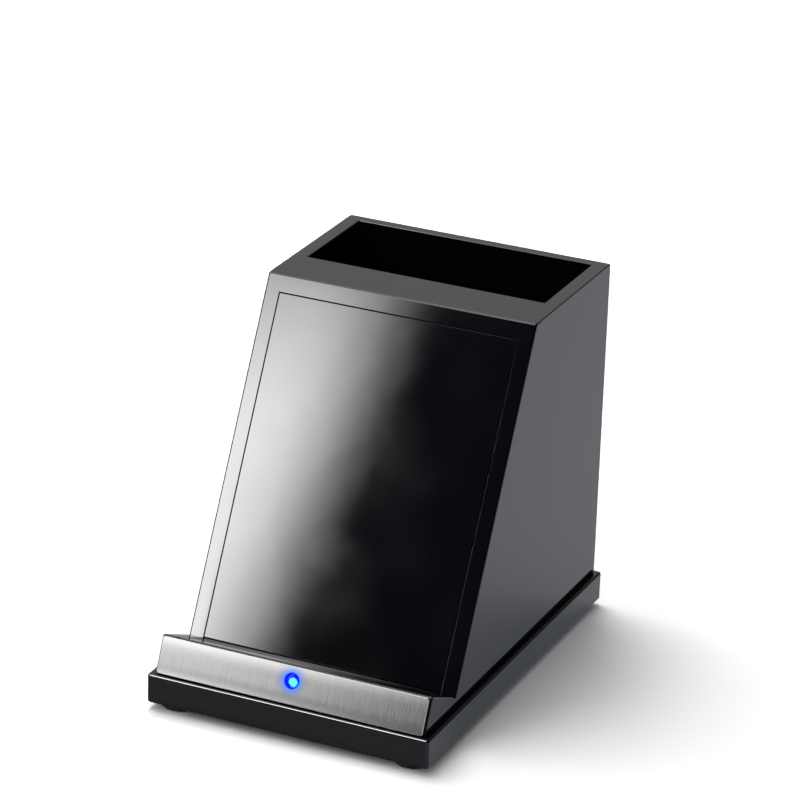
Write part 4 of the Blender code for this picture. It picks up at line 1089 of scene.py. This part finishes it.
clear = mixed(tree, ray["Is Transmission Ray"], lit, 1.0)
tree.links.new(mixed(tree, ray["Is Camera Ray"], clear, 1.0), background["Strength"])

# A big soft box overhead, a little to the rear left, is the key light. Five reflection boxes in front
# show only in the gloss: a bright one for all but the steel, a brighter one for the edges of the base,
# and three dim ones for the steel, which would burn out under the bright ones.
key_place = (-0.315, 0.265, 1.03)
key_size = 0.7
key_power = 4.6
key = bpy.data.lights.new("key", "AREA")
key.size = key_size
key.energy = key_power
stand = set_out("key", key)
stand.location = key_place
stand.rotation_mode = "QUATERNION"
stand.rotation_quaternion = (-Vector(key_place)).to_track_quat("-Z", "Y")
gloss_distance = 0.8
gloss_spacing = 0.01
# Each box has a low and a high corner, a strength, and the piece that it is held to or kept from. It
# fades along its axes, from a share of its strength at the first place to all of it at the second.
gloss_boxes = [
    ("lacquer_box", (-0.85, 0.3), (-0.355, 2.4), 20.0, (strip_piece, "EXCLUDE"), [
        ("X", -0.85, -0.775, 0.0),
        ("X", -0.355, -0.43, 0.0),
        ("Z", 0.3, 0.35, 0.0),
        ("Z", 0.64, 0.46, 0.3),
    ]),
    ("arris_box", (-0.95, 0.66), (-0.3, 2.4), 24.0, (base_piece, "INCLUDE"), [
        ("X", -0.95, -0.875, 0.0),
        ("X", -0.3, -0.375, 0.0),
    ]),
    ("steel_box_high", (-1.4, 0.243), (-0.1, 1.4), 1.85, (strip_piece, "INCLUDE"), [
        ("X", -0.21, -0.42, 0.0),
        ("Z", 0.25, 0.36, 0.57),
    ]),
    ("steel_box_low", (-1.4, 0.0), (-0.1, 0.216), 1.6, (strip_piece, "INCLUDE"), [
        ("X", -0.25, -0.42, 0.0),
        ("Z", 0.216, 0.12, 0.7),
    ]),
    ("steel_box_right", (-0.1, 0.0), (1.6, 1.4), 0.9, (strip_piece, "INCLUDE"), [
        ("X", -0.1, 0.2, 0.0),
        ("Z", 0.1, 0.4, 0.5),
    ]),
]
for number, (name, low, high, strength, (linked_piece, link_state), fades) in enumerate(gloss_boxes):
    glow, tree = new_stage_finish(name)
    axes = place_axes(tree)
    level = strength
    for axis, start, end, least in fades:
        fade = graded(tree, axes[axis], start, end, low=least, smooth=True)
        level = worked_out(tree, "ShaderNodeMath", "MULTIPLY", level, fade)
    emission = tree.nodes.new("ShaderNodeEmission")
    tree.links.new(level, emission.inputs["Strength"])
    show_both(tree, emission, tree.nodes.new("ShaderNodeBsdfTransparent"))
    card = add_card(name, glow, low, high, -gloss_distance - number * gloss_spacing)
    card.visible_camera = False
    card.visible_diffuse = False
    card.visible_shadow = False
    lit = bpy.data.collections.new(name)
    lit.objects.link(linked_piece)
    lit.collection_objects[0].light_linking.link_state = link_state
    card.light_linking.receiver_collection = lit

# The camera stands where the photograph's did: to the right of the front and above, with a long lens,
# and rolled a little.
camera_azimuth = math.radians(24.118)
camera_elevation = math.radians(22.6966)
camera_roll = math.radians(1.9384)
camera_distance = 1.269512
camera_target = Vector((0.0032581, 0.0015172, 0.0876149))
lens_length = 184.845
film_width = 36
back = Vector((
    math.sin(camera_azimuth) * math.cos(camera_elevation),
    -math.cos(camera_azimuth) * math.cos(camera_elevation),
    math.sin(camera_elevation),
))
camera_data = bpy.data.cameras.new("camera")
camera_data.sensor_width = film_width
camera_data.lens = lens_length
camera = set_out("camera", camera_data)
camera.location = camera_target + back * camera_distance
camera.rotation_mode = "QUATERNION"
camera.rotation_quaternion = (-back).to_track_quat("-Z", "Y") @ Quaternion((0, 0, 1), camera_roll)
bpy.context.scene.camera = camera
bpy.context.scene.view_settings.view_transform = "Standard"
